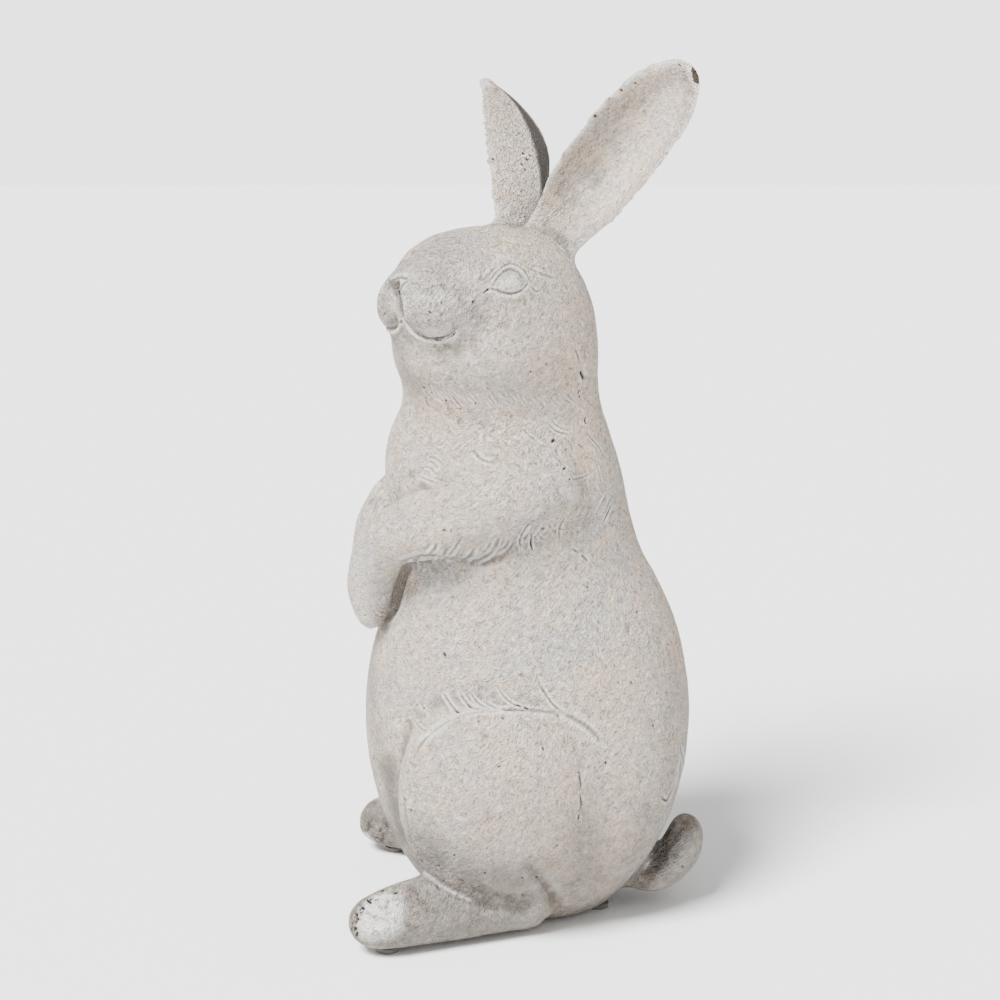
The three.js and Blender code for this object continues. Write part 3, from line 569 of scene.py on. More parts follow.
for u, v in scattered(FLANK_STROKES, FLANK_ACROSS, FLANK_DOWN):
    if v > THIGH_CORNER[1] and u < THIGH_CORNER[0]:
        continue
    length = random.uniform(16, 36)
    angle = math.radians(random.uniform(25, 65))
    du, dv = math.cos(angle) * length, math.sin(angle) * length
    stroke = [(u, v), (u + du * 0.5 - 4, v + dv * 0.5 + 3), (u + du, v + dv)]
    depth = random.uniform(0.00004, 0.0001)
    draw(stroke, width=0.0007, depth=depth, lip=0.00007, side=random.choice((-1, 1)))
HOCK_HATCHES = 40
HOCK_ACROSS = (416, 482)
HOCK_DOWN = (834.32, 858.32)
HOCK_SLOPE = 0.58
for u, v in scattered(HOCK_HATCHES, HOCK_ACROSS, HOCK_DOWN, HOCK_SLOPE):
    reach = random.uniform(2, 4)
    depth = random.uniform(0.0001, 0.00022)
    draw([(u, v), (u - reach, v + reach * 0.6)], width=0.0004, depth=depth, lip=0.0001, side=1)

# Tail: a small solid casting, pinned and glued to the rump. It is a cupped scut that lies close against the
# body, with a deep groove between them.
TAIL_LINES = [
    ([(687, 823), (678, 832), (671, 840), (665.5, 848), (660, 860), (652, 872), (644, 881)],
     0.0026, 0.001),
    ([(686, 824.5), (679, 831.5), (673, 838)], 0.0006, 0.0005, 0, 0.7),
    ([(669, 843), (666, 848), (663, 856)], 0.0006, 0.0005, 0, 0.45),
    ([(661, 838), (657, 846), (652.5, 855), (645, 868)], 0.0007, 0.0005, 0.0003, 0.15),
    ([(671, 829), (664, 838), (659, 848)], 0.0008, 0.0004, 0.0003, 0.3),
    ([(679, 757), (678, 768), (676.5, 781), (672.5, 792), (666, 802.5)], 0.001, 0.0011, 0.0002, 0.75),
    ([(668.5, 801.5), (664, 799.5), (662.5, 796)], 0.0006, 0.0005, 0.0002, 0.8),
]
draw_all(TAIL_LINES)

# Toes: the hind feet are solid castings, pinned and glued under the haunches. The claws of the far one show
# as two short creases, and the coat crumbles along the tip of the near one.
TOE_LINES = [
    ([(364, 820), (369, 826), (376, 830)], 0.0006, 0.0008, 0.0003, 0.4),
    ([(366, 834), (373, 838), (381, 840)], 0.0006, 0.0007, 0.0003, 0.4),
]
draw_all(TOE_LINES, mirror=False)
TOE_EDGE = [(350, 932), (349.5, 920), (354, 908), (362, 898), (374, 891), (388, 886)]
TOE_CRUMBS = 54
for _ in range(TOE_CRUMBS):
    u, v = pixel_along(TOE_EDGE, random.uniform(0, len(TOE_EDGE) - 1.01))
    u += random.uniform(1, 9)
    v += random.uniform(1, 7)
    crumb = random.choice((-1, 1))
    spread = [(u, v), (u + random.uniform(-2, 2), v + random.uniform(-2, 2))]
    width = random.uniform(0.0004, 0.0009)
    depth = crumb * random.uniform(0.0002, 0.0006)
    draw(spread, width, depth, pit=1 if crumb > 0 else 0, mirror=False)
FAR_TOE_SPECKS = 10
FAR_TOE_ACROSS = (365, 386)
FAR_TOE_DOWN = (822, 845)
for u, v in scattered(FAR_TOE_SPECKS, FAR_TOE_ACROSS, FAR_TOE_DOWN):
    spread = [(u, v), (u + random.uniform(-2, 2), v + random.uniform(1, 3))]
    draw(spread, random.uniform(0.0006, 0.0013), SPECK_DEPTH, pit=0.55, mirror=False)

# The skin is cut finer where something is modelled on it, most of all along the finest strokes, as at the
# eyes. Each cut has the width up to which strokes count, how far it goes to both sides of them, and the
# longest edge that it leaves.
CUTS = ((0.003, 0.0018, 0.00065), (0.00055, 0.0009, 0.00033))


def point_tree(points, numbers):
    """Points laid out for finding the nearest of them, each with its number."""
    found = KDTree(len(points))
    for point, number in zip(points, numbers):
        found.insert(point, int(number))
    found.balance()
    return found


detail = bmesh.new()
detail.from_mesh(fused)
for widest, reach, longest in CUTS:
    drawn = [point for stroke in carved if stroke[1] < widest for point in stroke[0]]
    near_lines = point_tree(drawn, range(len(drawn)))
    near = [near_lines.find(vert.co)[2] < reach for vert in detail.verts]
    detail.verts.index_update()
    split = [
        edge for edge in detail.edges
        if (near[edge.verts[0].index] or near[edge.verts[1].index]) and edge.calc_length() > longest
    ]
    bmesh.ops.subdivide_edges(detail, edges=split, cuts=1, use_grid_fill=True)
bmesh.ops.triangulate(detail, faces=detail.faces)
skin_mesh = bpy.data.meshes.new("skin")
detail.to_mesh(skin_mesh)
detail.free()
points, links = read(skin_mesh)

# Ears: each is cast by itself, pinned and glued to the crown. It is a leaf with a rolled rim, broad along
# the inner edge, round a shallow hollow that is deepest near the tip. Beyond a soft ridge the back of the
# far ear turns away.
FACETS_SOFTENED = 0.3
points = relax(points, links, FACETS_SOFTENED, 2)
put(skin_mesh, points)
normals = normals_of(skin_mesh)
lift = np.zeros(len(points))
pitted = np.zeros(len(points))


def evened(values, passes):
    """A value on each point, averaged with its neighbours."""
    return relax(values[:, None], links, 0.5, passes)[:, 0]


EAR_FACINGS = {"ear_left": (1, -0.2, 0.1), "ear_right": (-0.3, -1, 0.1)}
EAR_MARGIN = 0.001
RIM_BROAD = 0.0052
RIM_THIN = 0.0013
ROLL_RISE = 0.0003
ROLL_PLACE = 0.55
RIM_TURN = 0.25
FRONT_TURN = 0.05
HOLLOW_START = 0.6
HOLLOW_DEPTH = 0.001
HOLLOW_FADE = (0.004, 0.011)
HOLLOW_FOOT = -0.036
HOLLOW_OPENS = 0.026
DEEP_FOOT = -0.012
DEEP_RISE = 0.04
ear_hollow = np.zeros(len(points))
for name, facing in EAR_FACINGS.items():
    cloud = np.array([vert.co for vert in nodes[name].data.vertices])
    middle = cloud.mean(axis=0)
    _, _, (along, width, thick) = np.linalg.svd(cloud - middle)
    along = along * np.sign(along[2])
    thick = thick * np.sign(thick @ np.array(facing))
    inner = np.cross(along, thick)
    inner = inner * np.sign(inner @ (np.array(HEAD_ACROSS) * (1 if name == "ear_right" else -1)))
    mine = in_box(points, *np.array(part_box(name)), EAR_MARGIN) & (points[:, 2] > CROWN)
    turn = evened(normals @ thick, 6)
    on_rim = np.where(mine & (np.abs(turn) < RIM_TURN))[0]
    rim_tree = point_tree(points[on_rim], on_rim)
    front = np.where(mine & (turn > FRONT_TURN))[0]
    gap = np.zeros(len(points))
    gap[front] = [rim_tree.find(points[index])[2] for index in front]
    gap = evened(gap, 24)
    across = (points - middle) @ inner
    height = (points - middle) @ along
    broad = np.clip(across / 0.01 + 0.2, 0, 1)
    opened = np.clip((height - HOLLOW_FOOT) / HOLLOW_OPENS, 0, 1) * mine * np.clip(turn / RIM_TURN, 0, 1)
    rim = RIM_THIN + (RIM_BROAD - RIM_THIN) * broad
    fade = HOLLOW_FADE[0] + (HOLLOW_FADE[1] - HOLLOW_FADE[0]) * broad
    step = eased(np.clip((gap - rim * HOLLOW_START) / fade, 0, 1))
    roll = np.exp(-(((gap - rim * ROLL_PLACE) / (rim * ROLL_PLACE)) ** 2)) * broad
    deep = HOLLOW_DEPTH * (0.4 + 0.8 * np.clip((height - DEEP_FOOT) / DEEP_RISE, 0, 1))
    lift += evened(opened * (ROLL_RISE * roll - deep * step), 30)
    ear_hollow = np.maximum(ear_hollow, evened(step * opened, 12))
FAR_EAR_RIDGE = [
    (493, 82), (505, 92), (517, 106), (526, 122), (532, 138), (537, 155), (540, 172), (541, 190), (539, 206),
]
RIDGE_RISE = 0.0003
BEYOND_DEPTH = 0.0011
BEYOND_REACH = 0.006
BEYOND_FADE = 0.012
CREST_SPREAD = 0.0022
CREST_DROP = 0.0008
LEAST_FACING = -0.1
ridge = np.array(on_skin(FAR_EAR_RIDGE, tree_of(skin_mesh)))
inside = in_box(points, *np.array(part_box("ear_right")), EAR_MARGIN)
far_ear = np.where(inside & (normals[:, 0] > LEAST_FACING))[0]
far_side, near_side = (tree_of(nodes[name].data) for name in ("ear_right", "ear_left"))
far_ear = np.array([
    index for index in far_ear
    if far_side.find_nearest(points[index])[3] < near_side.find_nearest(points[index])[3]
])
_, gap, apart = nearest_on(ridge, points[far_ear])
behind = apart[:, 1] > 0
beyond = np.zeros(len(points))
beyond[far_ear] = behind * np.clip(gap / BEYOND_REACH, 0, 1) * np.clip(1.6 - gap / BEYOND_FADE, 0, 1)
crest = np.zeros(len(points))
dropped = np.where(behind, np.exp(-((gap / CREST_DROP) ** 2)), 1)
crest[far_ear] = np.exp(-((gap / CREST_SPREAD) ** 2)) * dropped
lift += evened(RIDGE_RISE * crest, 3) - BEYOND_DEPTH * evened(beyond, 5)
# The strip of the far ear beyond the ridge is painted dark: painted shade for the side that turns away from
# the light.
turned_away = (beyond > 0.05).astype(float)
shaded = 0.95 * np.clip(evened(turned_away, 3) * 1.4, 0, 1)
far_ear_painted_shade = np.clip(evened(turned_away, 9) * 1.35 - 0.08, 0, 1)
# The far ear ends in a rounded knob.
EAR_KNOB = [(484, 80), (486, 84)]
KNOB_REACH = 0.006
KNOB_RISE = 0.0009
knob = closeness(points, on_skin(EAR_KNOB, tree_of(skin_mesh)), KNOB_REACH)
lift += evened(KNOB_RISE * knob, 4)
smooth_share = np.clip(evened((beyond > 0).astype(float), 4) + ear_hollow, 0, 1)

# The lines noted above are pressed in: each is a groove that thins toward its ends, with a lip of clay
# pushed up beside it. Reach, lip and pit are counted in widths of the line. A lip of the full height is
# rubbed whitest by the finish.
LINE_REACH = 3.5
LIP_PLACE = 1.7
LIP_SPREAD = 0.8
PIT_SPREAD = 0.75
LINE_END = 0.12
LINE_SWELL = 3.2
SHORT_LINE = 4
FULL_LIP = 0.0004
pressed = np.zeros(len(points))
rubbed_white_and_lit = np.zeros(len(points))
for line, width, depth, lip, side, pit in carved:
    line = np.array(line)
    reach = width * LINE_REACH
    index = np.where(in_box(points, line.min(axis=0), line.max(axis=0), reach))[0]
    if not len(index):
        continue
    nearest, gap, apart = nearest_on(line, points[index])
    close = gap < reach
    index, nearest, gap, apart = index[close], nearest[close], gap[close], apart[close]
    share = nearest / max(len(line) - 1, 1)
    taper = np.ones(len(index))
    if len(line) > SHORT_LINE:
        taper = np.clip(np.minimum(share, 1 - share) * LINE_SWELL + LINE_END, 0, 1)
    trend = np.gradient(line, axis=0)[nearest]
    which = np.sign(np.einsum("ij,ij->i", np.cross(trend, normals[index]), apart))
    groove = np.exp(-((gap / width) ** 2)) * taper
    bank = np.exp(-(((gap - LIP_PLACE * width) / (LIP_SPREAD * width)) ** 2)) * taper
    if side:
        bank = bank * (which == side)
    pressed[index] = np.maximum(pressed[index], groove * depth)
    lift[index] += lip * bank
    rubbed_white_and_lit[index] = np.maximum(rubbed_white_and_lit[index], bank * (lip / FULL_LIP))
    if depth < 0:
        lift[index] += -depth * groove
    # A pit paints the bottom of the groove near black: painted shade, with dirt.
    if pit:
        black = np.exp(-((gap / (width * PIT_SPREAD)) ** 2)) * pit * taper
        pitted[index] = np.maximum(pitted[index], black)
lift -= np.clip(pressed, 0, None)
lift = evened(lift, 1)

# Eyeballs: each is a low swelling of the head's clay between its two lids, and mirrors the one on the other
# side of the head.
EYE_PIXEL = (509, 282)
EYE_HALF = (0.0058, 0.0038)
EYE_SWELL = 0.0007
tree = tree_of(skin_mesh)
eye_near = Vector(on_skin([EYE_PIXEL, (EYE_PIXEL[0] + 1, EYE_PIXEL[1])], tree)[0])
for eye in (eye_near, mirrored([eye_near], tree, HEAD_MIDDLE, HEAD_ACROSS)[0]):
    away = points - np.array(eye)
    level = np.linalg.norm(away[:, :2], axis=1) / EYE_HALF[0]
    upright = away[:, 2] / EYE_HALF[1]
    lift += EYE_SWELL * np.clip(1 - level ** 2 - upright ** 2, 0, 1)

# Face: pads of clay, laid on and smoothed into the head. The nose, the pads of the muzzle, the brow and the
# cheek stand out, and the face sinks in under and behind them. Each has its pixel, radius and rise.
FACE_FORMS = [
    ((393.5, 267), 0.006, 0.0009), ((426, 302), 0.013, 0.0009), ((438, 350), 0.010, -0.0006),
    ((468, 306), 0.011, -0.00035), ((506, 257), 0.008, 0.0004), ((516, 306), 0.012, 0.0004),
]
for (u, v), radius, rise in FACE_FORMS:
    place = on_skin([(u, v), (u + 1, v)], tree)
    other = mirrored(place, tree, HEAD_MIDDLE, HEAD_ACROSS)
    lift += rise * np.maximum(closeness(points, place, radius), closeness(points, other, radius))

# Pits: small round holes, left where air bubbles burst in the coat as it dried. They lie all over the figure,
# and the ears have fewer of them. Each is painted dark inside as well, as painted shade with dirt.
PITS = 240
PIT_RADIUS = (0.00025, 0.0007)
PIT_DEPTH = 0.0006
EAR_PITS_ABOVE = 0.26
EAR_PITS_LEFT_OUT = 0.5
random.seed(5)
ball = point_tree(points, range(len(points)))
for _ in range(PITS):
    index = random.randrange(len(points))
    if points[index, 2] > EAR_PITS_ABOVE and random.random() < EAR_PITS_LEFT_OUT:
        continue
    radius = random.uniform(*PIT_RADIUS) * random.uniform(0.6, 1)
    deep = random.uniform(0.4, 1)
    for _, i, gap in ball.find_range(points[index], radius * 2.4):
        bowl = math.exp(-((gap / radius) ** 2))
        lift[i] -= PIT_DEPTH * bowl * deep
        pitted[i] = max(pitted[i], bowl * deep)

# Unevenness: the coat is sprayed by hand over a figure that was modelled by hand, so no face is quite even.
# The ears are calmer. Each swell has the length of its waves and its height.
SWELLS = ((0.012, 0.00022), (0.0045, 0.0001), (0.0022, 0.00007))
uneven = np.array([
    sum(size * noise.noise(Vector(point) / wave) for wave, size in SWELLS) for point in points
])
EARS_CALM = 0.6
calm = 1 - EARS_CALM * np.clip((points[:, 2] - CROWN) / 0.01, 0, 1)
lift += uneven * calm
points = points + normals * (lift - PUFF)[:, None]
put(skin_mesh, points)

# What the coat remembers: dirt gathers low down, the high edges and the locks are rubbed white, and the pits
# stay
# dark. Painted shade is laid in as well: darker low down, in the folds and valleys, under the muzzle, chin
# and forelegs, in the ear hollows and on the turned-away strip of the far ear, and in the pits with the dirt.
# One patch on the near paw is painted lighter, as painted light. These go on the skin as attributes for the
# finish.
points, links = read(skin_mesh)
normals = normals_of(skin_mesh)
FINE_PASSES = 14
BROAD_PASSES = 120
FOLD_FULL = 0.00009
VALLEY_FULL = 0.0008
hollowed = np.einsum("ij,ij->i", relax(points, links, 0.5, FINE_PASSES) - points, normals)
broad = np.einsum("ij,ij->i", relax(points, links, 0.5, BROAD_PASSES) - points, normals)
fold = np.clip((hollowed - broad * FINE_PASSES / BROAD_PASSES) / FOLD_FULL, -1, 1)
valley = np.clip(broad / VALLEY_FULL, 0, 1)
# Marks on the ears and on the nose are not mirrored. Others above the neck are mirrored across the head.
EARS_ABOVE = 230
HEAD_ABOVE = 390
NOSE_LEFT_OF = 402


def spot(pixels, radius):
    """A mark under a line of pixels, and the same on the other side of the body or the head."""
    line = on_skin(pixels, tree)
    near = closeness(points, line, radius)
    u, v = pixels[0]
    if v < EARS_ABOVE or (v < HEAD_ABOVE and u < NOSE_LEFT_OF):
        return near
    middle, across = (HEAD_MIDDLE, HEAD_ACROSS) if v < HEAD_ABOVE else (BODY_MIDDLE, ACROSS)
    return np.maximum(near, closeness(points, mirrored(line, tree, middle, across), radius))


def strongest(marks):
    """The strongest of many marks at each point, each with its pixels, radius and amount."""
    return np.max([amount * spot(pixels, radius) for pixels, radius, amount in marks], axis=0)


def full_spot(pixels, radius, strength):
    """A mark that is full over its middle and ends in a firmer edge."""
    return np.clip(strength * spot(pixels, radius), 0, 1)


tree = tree_of(skin_mesh)
LOW_DIRT = 0.12
TOE_DIRT = 0.3
VALLEY_DARKENING = 0.25
LOW_DARKENING = 0.7
EAR_HOLLOW_SHADE = 0.16
DIRT_BELOW = 0.05
TOES_BELOW = 0.035
TOES_BEFORE = -0.005
TOES_FADE = 0.03
DARKENING_BELOW = 0.072
DARKENING_FADE = 0.05
depth, height = points[:, 1], points[:, 2]
toes = np.clip(1 - height / TOES_BELOW, 0, 1) * np.clip((TOES_BEFORE - depth) / TOES_FADE, 0, 1)
dirt_and_shade = LOW_DIRT * np.clip(1 - height / DIRT_BELOW, 0, 1) + TOE_DIRT * toes
# Painted shade under the nose, muzzle, chin, belly, forelegs and haunch and at the far foot, with grime low
# down.
SHADE_AND_GRIME_MARKS = [
    ([(388, 770), (394, 800), (402, 834)], 0.013, 1.0),
    ([(398, 345), (404, 368), (410, 384)], 0.014, 0.65),
    ([(386, 300), (384, 318), (388, 332)], 0.006, 0.45),
    ([(391, 283), (396, 288), (399, 295)], 0.0028, 1.0),
    ([(400, 296), (401, 308), (404, 318)], 0.0035, 0.75),
    ([(406, 321), (416, 331), (428, 337), (444, 336.5), (454, 330)], 0.0034, 1.0),
    ([(412, 322), (430, 329), (446, 324)], 0.008, 0.5),
    ([(374, 640), (370, 690), (376, 740), (386, 780)], 0.014, 0.5),
    ([(418, 838), (440, 858), (480, 874), (520, 880)], 0.018, 0.95),
    ([(406, 552), (440, 562), (480, 566)], 0.006, 0.25),
    ([(372, 812), (384, 824), (394, 832)], 0.018, 1.0),
]
# Brown dirt at the feet, toes and tail, and painted shade in the same brown on the belly, at the nostrils and
# under the fringe of the forelegs.
DIRT_AND_SHADE_MARKS = [
    ([(388, 770), (394, 800), (402, 834)], 0.011, 0.45),
    ([(374, 822), (380, 836), (388, 844)], 0.014, 0.6),
    ([(402, 897), (412, 905), (420, 915), (414, 925)], 0.010, 0.75),
    ([(408, 892), (432, 890), (452, 905), (500, 925)], 0.011, 0.35),
    ([(424, 862), (446, 880), (480, 893), (512, 898)], 0.012, 0.45),
    ([(470, 886), (490, 900), (520, 905)], 0.007, 0.5),
    ([(530, 866), (545, 885), (560, 908)], 0.006, 0.5),
    ([(688, 822), (678, 832), (671, 840), (664, 850), (658, 862), (648, 876)], 0.006, 0.38),
    ([(690, 816), (700, 818)], 0.003, 0.6),
    ([(394, 281), (398, 286), (399.5, 292)], 0.0028, 1.0),
    ([(655, 858), (648, 870), (640, 882)], 0.005, 0.5),
    ([(368, 826), (378, 832), (390, 838), (386, 848)], 0.009, 1.0),
    ([(365, 824), (365, 833), (369, 842)], 0.003, 0.7),
    ([(352, 932), (354, 914), (359, 903), (367, 895), (377, 889)], 0.0038, 1.0),
    ([(388, 540), (372, 560), (368, 590), (382, 617)], 0.006, 0.08),
    ([(392, 600), (388, 614), (378, 620)], 0.004, 0.45),
    ([(372, 612), (384, 616)], 0.004, 0.15),
    ([(540, 203), (530, 214), (520, 212)], 0.005, 0.5),
    ([(384, 286), (390, 284), (398, 292), (399, 310)], 0.003, 0.4),
    ([(430, 554), (470, 557), (510, 546)], 0.004, 0.3),
]
WORN_TOE = ([(370, 926), (374, 910), (383, 902), (389, 908), (385, 924)], 0.0082, 1.4)
TOE_RIM = ([(351, 932), (353, 914), (358, 902), (366, 894), (377, 887)], 0.0036, 1.3)
WORN_FAR_TOE = ([(368, 838), (376, 845)], 0.004, 1.4)
# Rubbed white along the lips and tufts; the last mark, on the near paw, is painted light.
CHALK_AND_LIGHT_MARKS = [
    ([(403, 319), (415, 334.5), (434, 341), (451, 336.5), (457, 331)], 0.0012, 1),
    ([(424, 872), (439, 884), (453.5, 892.6), (470, 900)], 0.0014, 1),
    ([(426, 736), (444, 722), (468, 712), (505, 709.5)], 0.0011, 1),
    ([(661, 838), (652.5, 855), (645, 868)], 0.0013, 1),
    ([(436, 394), (470, 399), (520, 399)], 0.004, 0.4),
    ([(446, 690), (452, 700), (460, 708), (478, 706)], 0.002, 0.4),
    ([(364, 575), (374, 600)], 0.014, 0.4),
]
ROUGH_MARKS = [
    ([(496, 110), (508, 140), (512, 170), (512, 205)], 0.013, 0.45),
    ([(412, 842), (440, 868), (476, 892)], 0.012, 1),
    ([(670, 836), (656, 862), (645, 878)], 0.005, 1),
    ([(560, 205), (585, 215), (600, 230)], 0.009, 0.45),
    ([(440, 250), (430, 300), (470, 300)], 0.016, 1),
]
CHIP = [(692, 65), (696, 71), (697, 79)]
CHIP_REACH = 0.003
chalk_and_light = strongest(CHALK_AND_LIGHT_MARKS)
# Darker towards the bottom, along the marks above, in the ear hollows and on the far ear's turned-away strip:
# painted shade, with grime low down. The far ear's strip and the valleys also go into the brown mark, as
# painted shade.
darker_low_down = LOW_DARKENING * np.clip((DARKENING_BELOW - height) / DARKENING_FADE, 0, 1)
grime_and_shade = np.max([darker_low_down, strongest(SHADE_AND_GRIME_MARKS), shaded, EAR_HOLLOW_SHADE * ear_hollow], axis=0)
dirt_and_shade = np.maximum(dirt_and_shade, shaded)
for pixels, radius, amount in DIRT_AND_SHADE_MARKS:
    dirt_and_shade += amount * spot(pixels, radius)
dirt_and_shade += VALLEY_DARKENING * valley * (1 - 0.8 * np.clip(ear_hollow, 0, 1))
grime_and_shade = grime_and_shade * (1 - 0.85 * chalk_and_light)
dirt_and_shade = dirt_and_shade * (1 - 0.6 * chalk_and_light)
worn = np.maximum(full_spot(*WORN_TOE) * (1 - full_spot(*TOE_RIM)), full_spot(*WORN_FAR_TOE))
rough = strongest(ROUGH_MARKS)
chip = np.clip(closeness(points, on_skin(CHIP, tree, step=0.6), CHIP_REACH) * 2.2 - 0.4, 0, 1)
ATTRIBUTES = {
    "dirt_and_shade": np.clip(dirt_and_shade, 0, 1), "fold": fold, "worn": worn, "pitted": pitted, "chip": chip,
    "rubbed_white_and_lit": np.clip(np.maximum(rubbed_white_and_lit, chalk_and_light), 0, 1), "rough": rough, "smooth": smooth_share,
    "grime_and_shade": np.clip(grime_and_shade, 0, 1), "far_ear_painted_shade": far_ear_painted_shade,
}

# The castings: the skin is parted where they meet, along the glue lines, so that each has its own piece.
# A piece is closed behind by faces that run to points in the heart of its casting. All pieces keep the
# normals of the whole skin, so no joint shows through the coat.
owner_points = []
owner_faces = []
owner = []
for number, name in enumerate(CAST):
    mesh = nodes[name].data
    base = len(owner_points)
    owner_points.extend(vert.co for vert in mesh.vertices)
    owner_faces.extend(tuple(base + v for v in polygon.vertices) for polygon in mesh.polygons)
    owner.extend([number] * len(mesh.polygons))
owners = BVHTree.FromPolygons(owner_points, owner_faces)
triangles = np.empty(len(skin_mesh.polygons) * 3, np.int32)
skin_mesh.polygons.foreach_get("vertices", triangles)
triangles = triangles.reshape(-1, 3)
owned_by_point = np.array([owner[owners.find_nearest(point)[2]] for point in points])
corner = owned_by_point[triangles]
owned = np.where(corner[:, 1] == corner[:, 2], corner[:, 1], corner[:, 0])
SEAM_DEPTH = 0.0012
JUST_INSIDE = 0.0005
ARM_PIXELS = [(560, 500), (520, 505), (480, 512), (440, 520), (405, 535), (384, 560), (375, 585), (377, 608)]
arm = tree_of(nodes["foreleg_left"].data)
arm_heart = []
for pixel in ARM_PIXELS:
    start, ray = sight_line(*pixel)
    entry = arm.ray_cast(start, ray)[0]
    if entry:
        leave = arm.ray_cast(entry + ray * JUST_INSIDE, ray)[0]
        arm_heart.append((entry + leave) / 2)


def stacked(x, y, foot, step, count):
    """Points one above the other at even steps, from the foot up."""
    return [(x, y, foot + step * i) for i in range(count)]


TORSO_HEART = stacked(BODY_MIDDLE.x, y=-0.0035, foot=0.012, step=0.016, count=12)
HEARTS = {
    "torso_front": TORSO_HEART, "torso_back": TORSO_HEART,
    "head": stacked(HEAD_MIDDLE.x, y=HEAD_MIDDLE.y, foot=0.197, step=0.012, count=3),
    "foreleg_left": [tuple(point) for point in arm_heart],
    "foreleg_right": [(2 * BODY_MIDDLE.x - point.x, point.y, point.z) for point in arm_heart],
}
coat = bpy.data.materials.new("stone coat")
for number, name in enumerate(CAST):
    mine = triangles[owned == number]
    used, local = np.unique(mine, return_inverse=True)
    local = local.reshape(-1, 3)
    sides = np.concatenate((local[:, [0, 1]], local[:, [1, 2]], local[:, [2, 0]]))
    keys = sides[:, 0].astype(np.int64) * len(used) + sides[:, 1]
    back = sides[:, 1].astype(np.int64) * len(used) + sides[:, 0]
    rim = sides[~np.isin(keys, back)]
    label = np.arange(len(used))
    for _ in range(len(used)):
        least = np.minimum(label[rim[:, 0]], label[rim[:, 1]])
        new = label.copy()
        np.minimum.at(new, rim[:, 0], least)
        np.minimum.at(new, rim[:, 1], least)
        new = new[new]
        if np.array_equal(new, label):
            break
        label = new
    loops = np.unique(label[rim[:, 0]])
    sunk_index, sunk = np.unique(rim, return_inverse=True)
    sunk = sunk.reshape(-1, 2) + len(used)
    sunk_points = points[used[sunk_index]] - normals[used[sunk_index]] * SEAM_DEPTH
    hearts = np.array(HEARTS[name]) if name in HEARTS else np.array([
        points[used[rim[label[rim[:, 0]] == loop].ravel()]].mean(axis=0) for loop in loops
    ])
    if name in HEARTS:
        heart = np.linalg.norm(sunk_points[:, None] - hearts[None], axis=2).argmin(axis=1)
    else:
        heart = np.searchsorted(loops, label[sunk_index])
    heart = heart[sunk - len(used)] + len(used) + len(sunk_points)
    crossing = heart[:, 0] != heart[:, 1]
    caps = [
        np.column_stack((rim[:, 1], rim[:, 0], sunk[:, 0])),
        np.column_stack((rim[:, 1], sunk[:, 0], sunk[:, 1])),
        np.column_stack((sunk[:, 1], sunk[:, 0], heart[:, 0])),
        np.column_stack((sunk[:, 1], heart[:, 0], heart[:, 1]))[crossing],
    ]
    all_points = np.vstack((points[used], sunk_points, hearts))
    all_faces = np.vstack([local] + caps)
    hidden = len(all_points) - len(used)
    mesh = bpy.data.meshes.new(name + "_skin")
    mesh.vertices.add(len(all_points))
    mesh.vertices.foreach_set("co", all_points.ravel())
    mesh.loops.add(len(all_faces) * 3)
    mesh.loops.foreach_set("vertex_index", all_faces.astype(np.int32).ravel())
    mesh.polygons.add(len(all_faces))
    mesh.polygons.foreach_set("loop_start", np.arange(0, len(all_faces) * 3, 3, dtype=np.int32))
    mesh.polygons.foreach_set("use_smooth", np.ones(len(all_faces), bool))
    mesh.update(calc_edges=True)
    full = np.vstack((normals[used], np.tile([0.0, 0.0, 1.0], (hidden, 1))))
    mesh.normals_split_custom_set_from_vertices(full.tolist())
    for label_name, values in ATTRIBUTES.items():
        layer = mesh.attributes.new(label_name, "FLOAT", "POINT")
        layer.data.foreach_set("value", np.concatenate((values[used], np.zeros(hidden))).astype(np.float32))
    mesh.materials.append(coat)
    piece = bpy.data.objects.new(name + "_skin", mesh)
    scene.collection.objects.link(piece)
    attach(piece, "root")
    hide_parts(name)

# The coat: a matt, warm grey stone finish with fine sand in it, sprayed on by hand. It is mottled in tone,
# rubbed whiter on the locks and edges, and brown with dirt at the feet. Painted shade is laid into it: in the
# hollows of the sand, in the folds and valleys, on the undersides, on the turned-away strip of the far ear,
# and near black in the pits, with dirt. A patch on the near paw is painted light. Where it has chipped off at
# an ear's tip, the brown resin shows.
def open_finish(finish):
    """A material's nodes, wires and shader, and the place on the piece that its patterns follow."""
    finish.use_nodes = True
    inside = finish.node_tree.nodes
    place = inside.new("ShaderNodeTexCoord").outputs["Object"]
    return inside, finish.node_tree.links, inside["Principled BSDF"], place


def grain(scale, detail=2.0, roughness=0.5, stretch=None, wander=0.0):
    """A noise whose cells are 1 / scale metres across."""
    source = place
    if stretch:
        mapping = tree_nodes.new("ShaderNodeMapping")
        mapping.vector_type = "TEXTURE"
        mapping.inputs["Rotation"].default_value = stretch[0]
        mapping.inputs["Scale"].default_value = stretch[1]
        wires.new(place, mapping.inputs["Vector"])
        source = mapping.outputs["Vector"]
    texture = tree_nodes.new("ShaderNodeTexNoise")
    texture.inputs["Scale"].default_value = scale
    texture.inputs["Detail"].default_value = detail
    texture.inputs["Roughness"].default_value = roughness
    texture.inputs["Distortion"].default_value = wander
    wires.new(source, texture.inputs["Vector"])
    return texture.outputs["Fac"]


def remap(value, low, high, to_low=0.0, to_high=1.0):
    """Stretches a value from one range to another and holds it there."""
    node = tree_nodes.new("ShaderNodeMapRange")
    node.inputs["From Min"].default_value = low
    node.inputs["From Max"].default_value = high
    node.inputs["To Min"].default_value = to_low
    node.inputs["To Max"].default_value = to_high
    wires.new(value, node.inputs["Value"])
    return node.outputs["Result"]


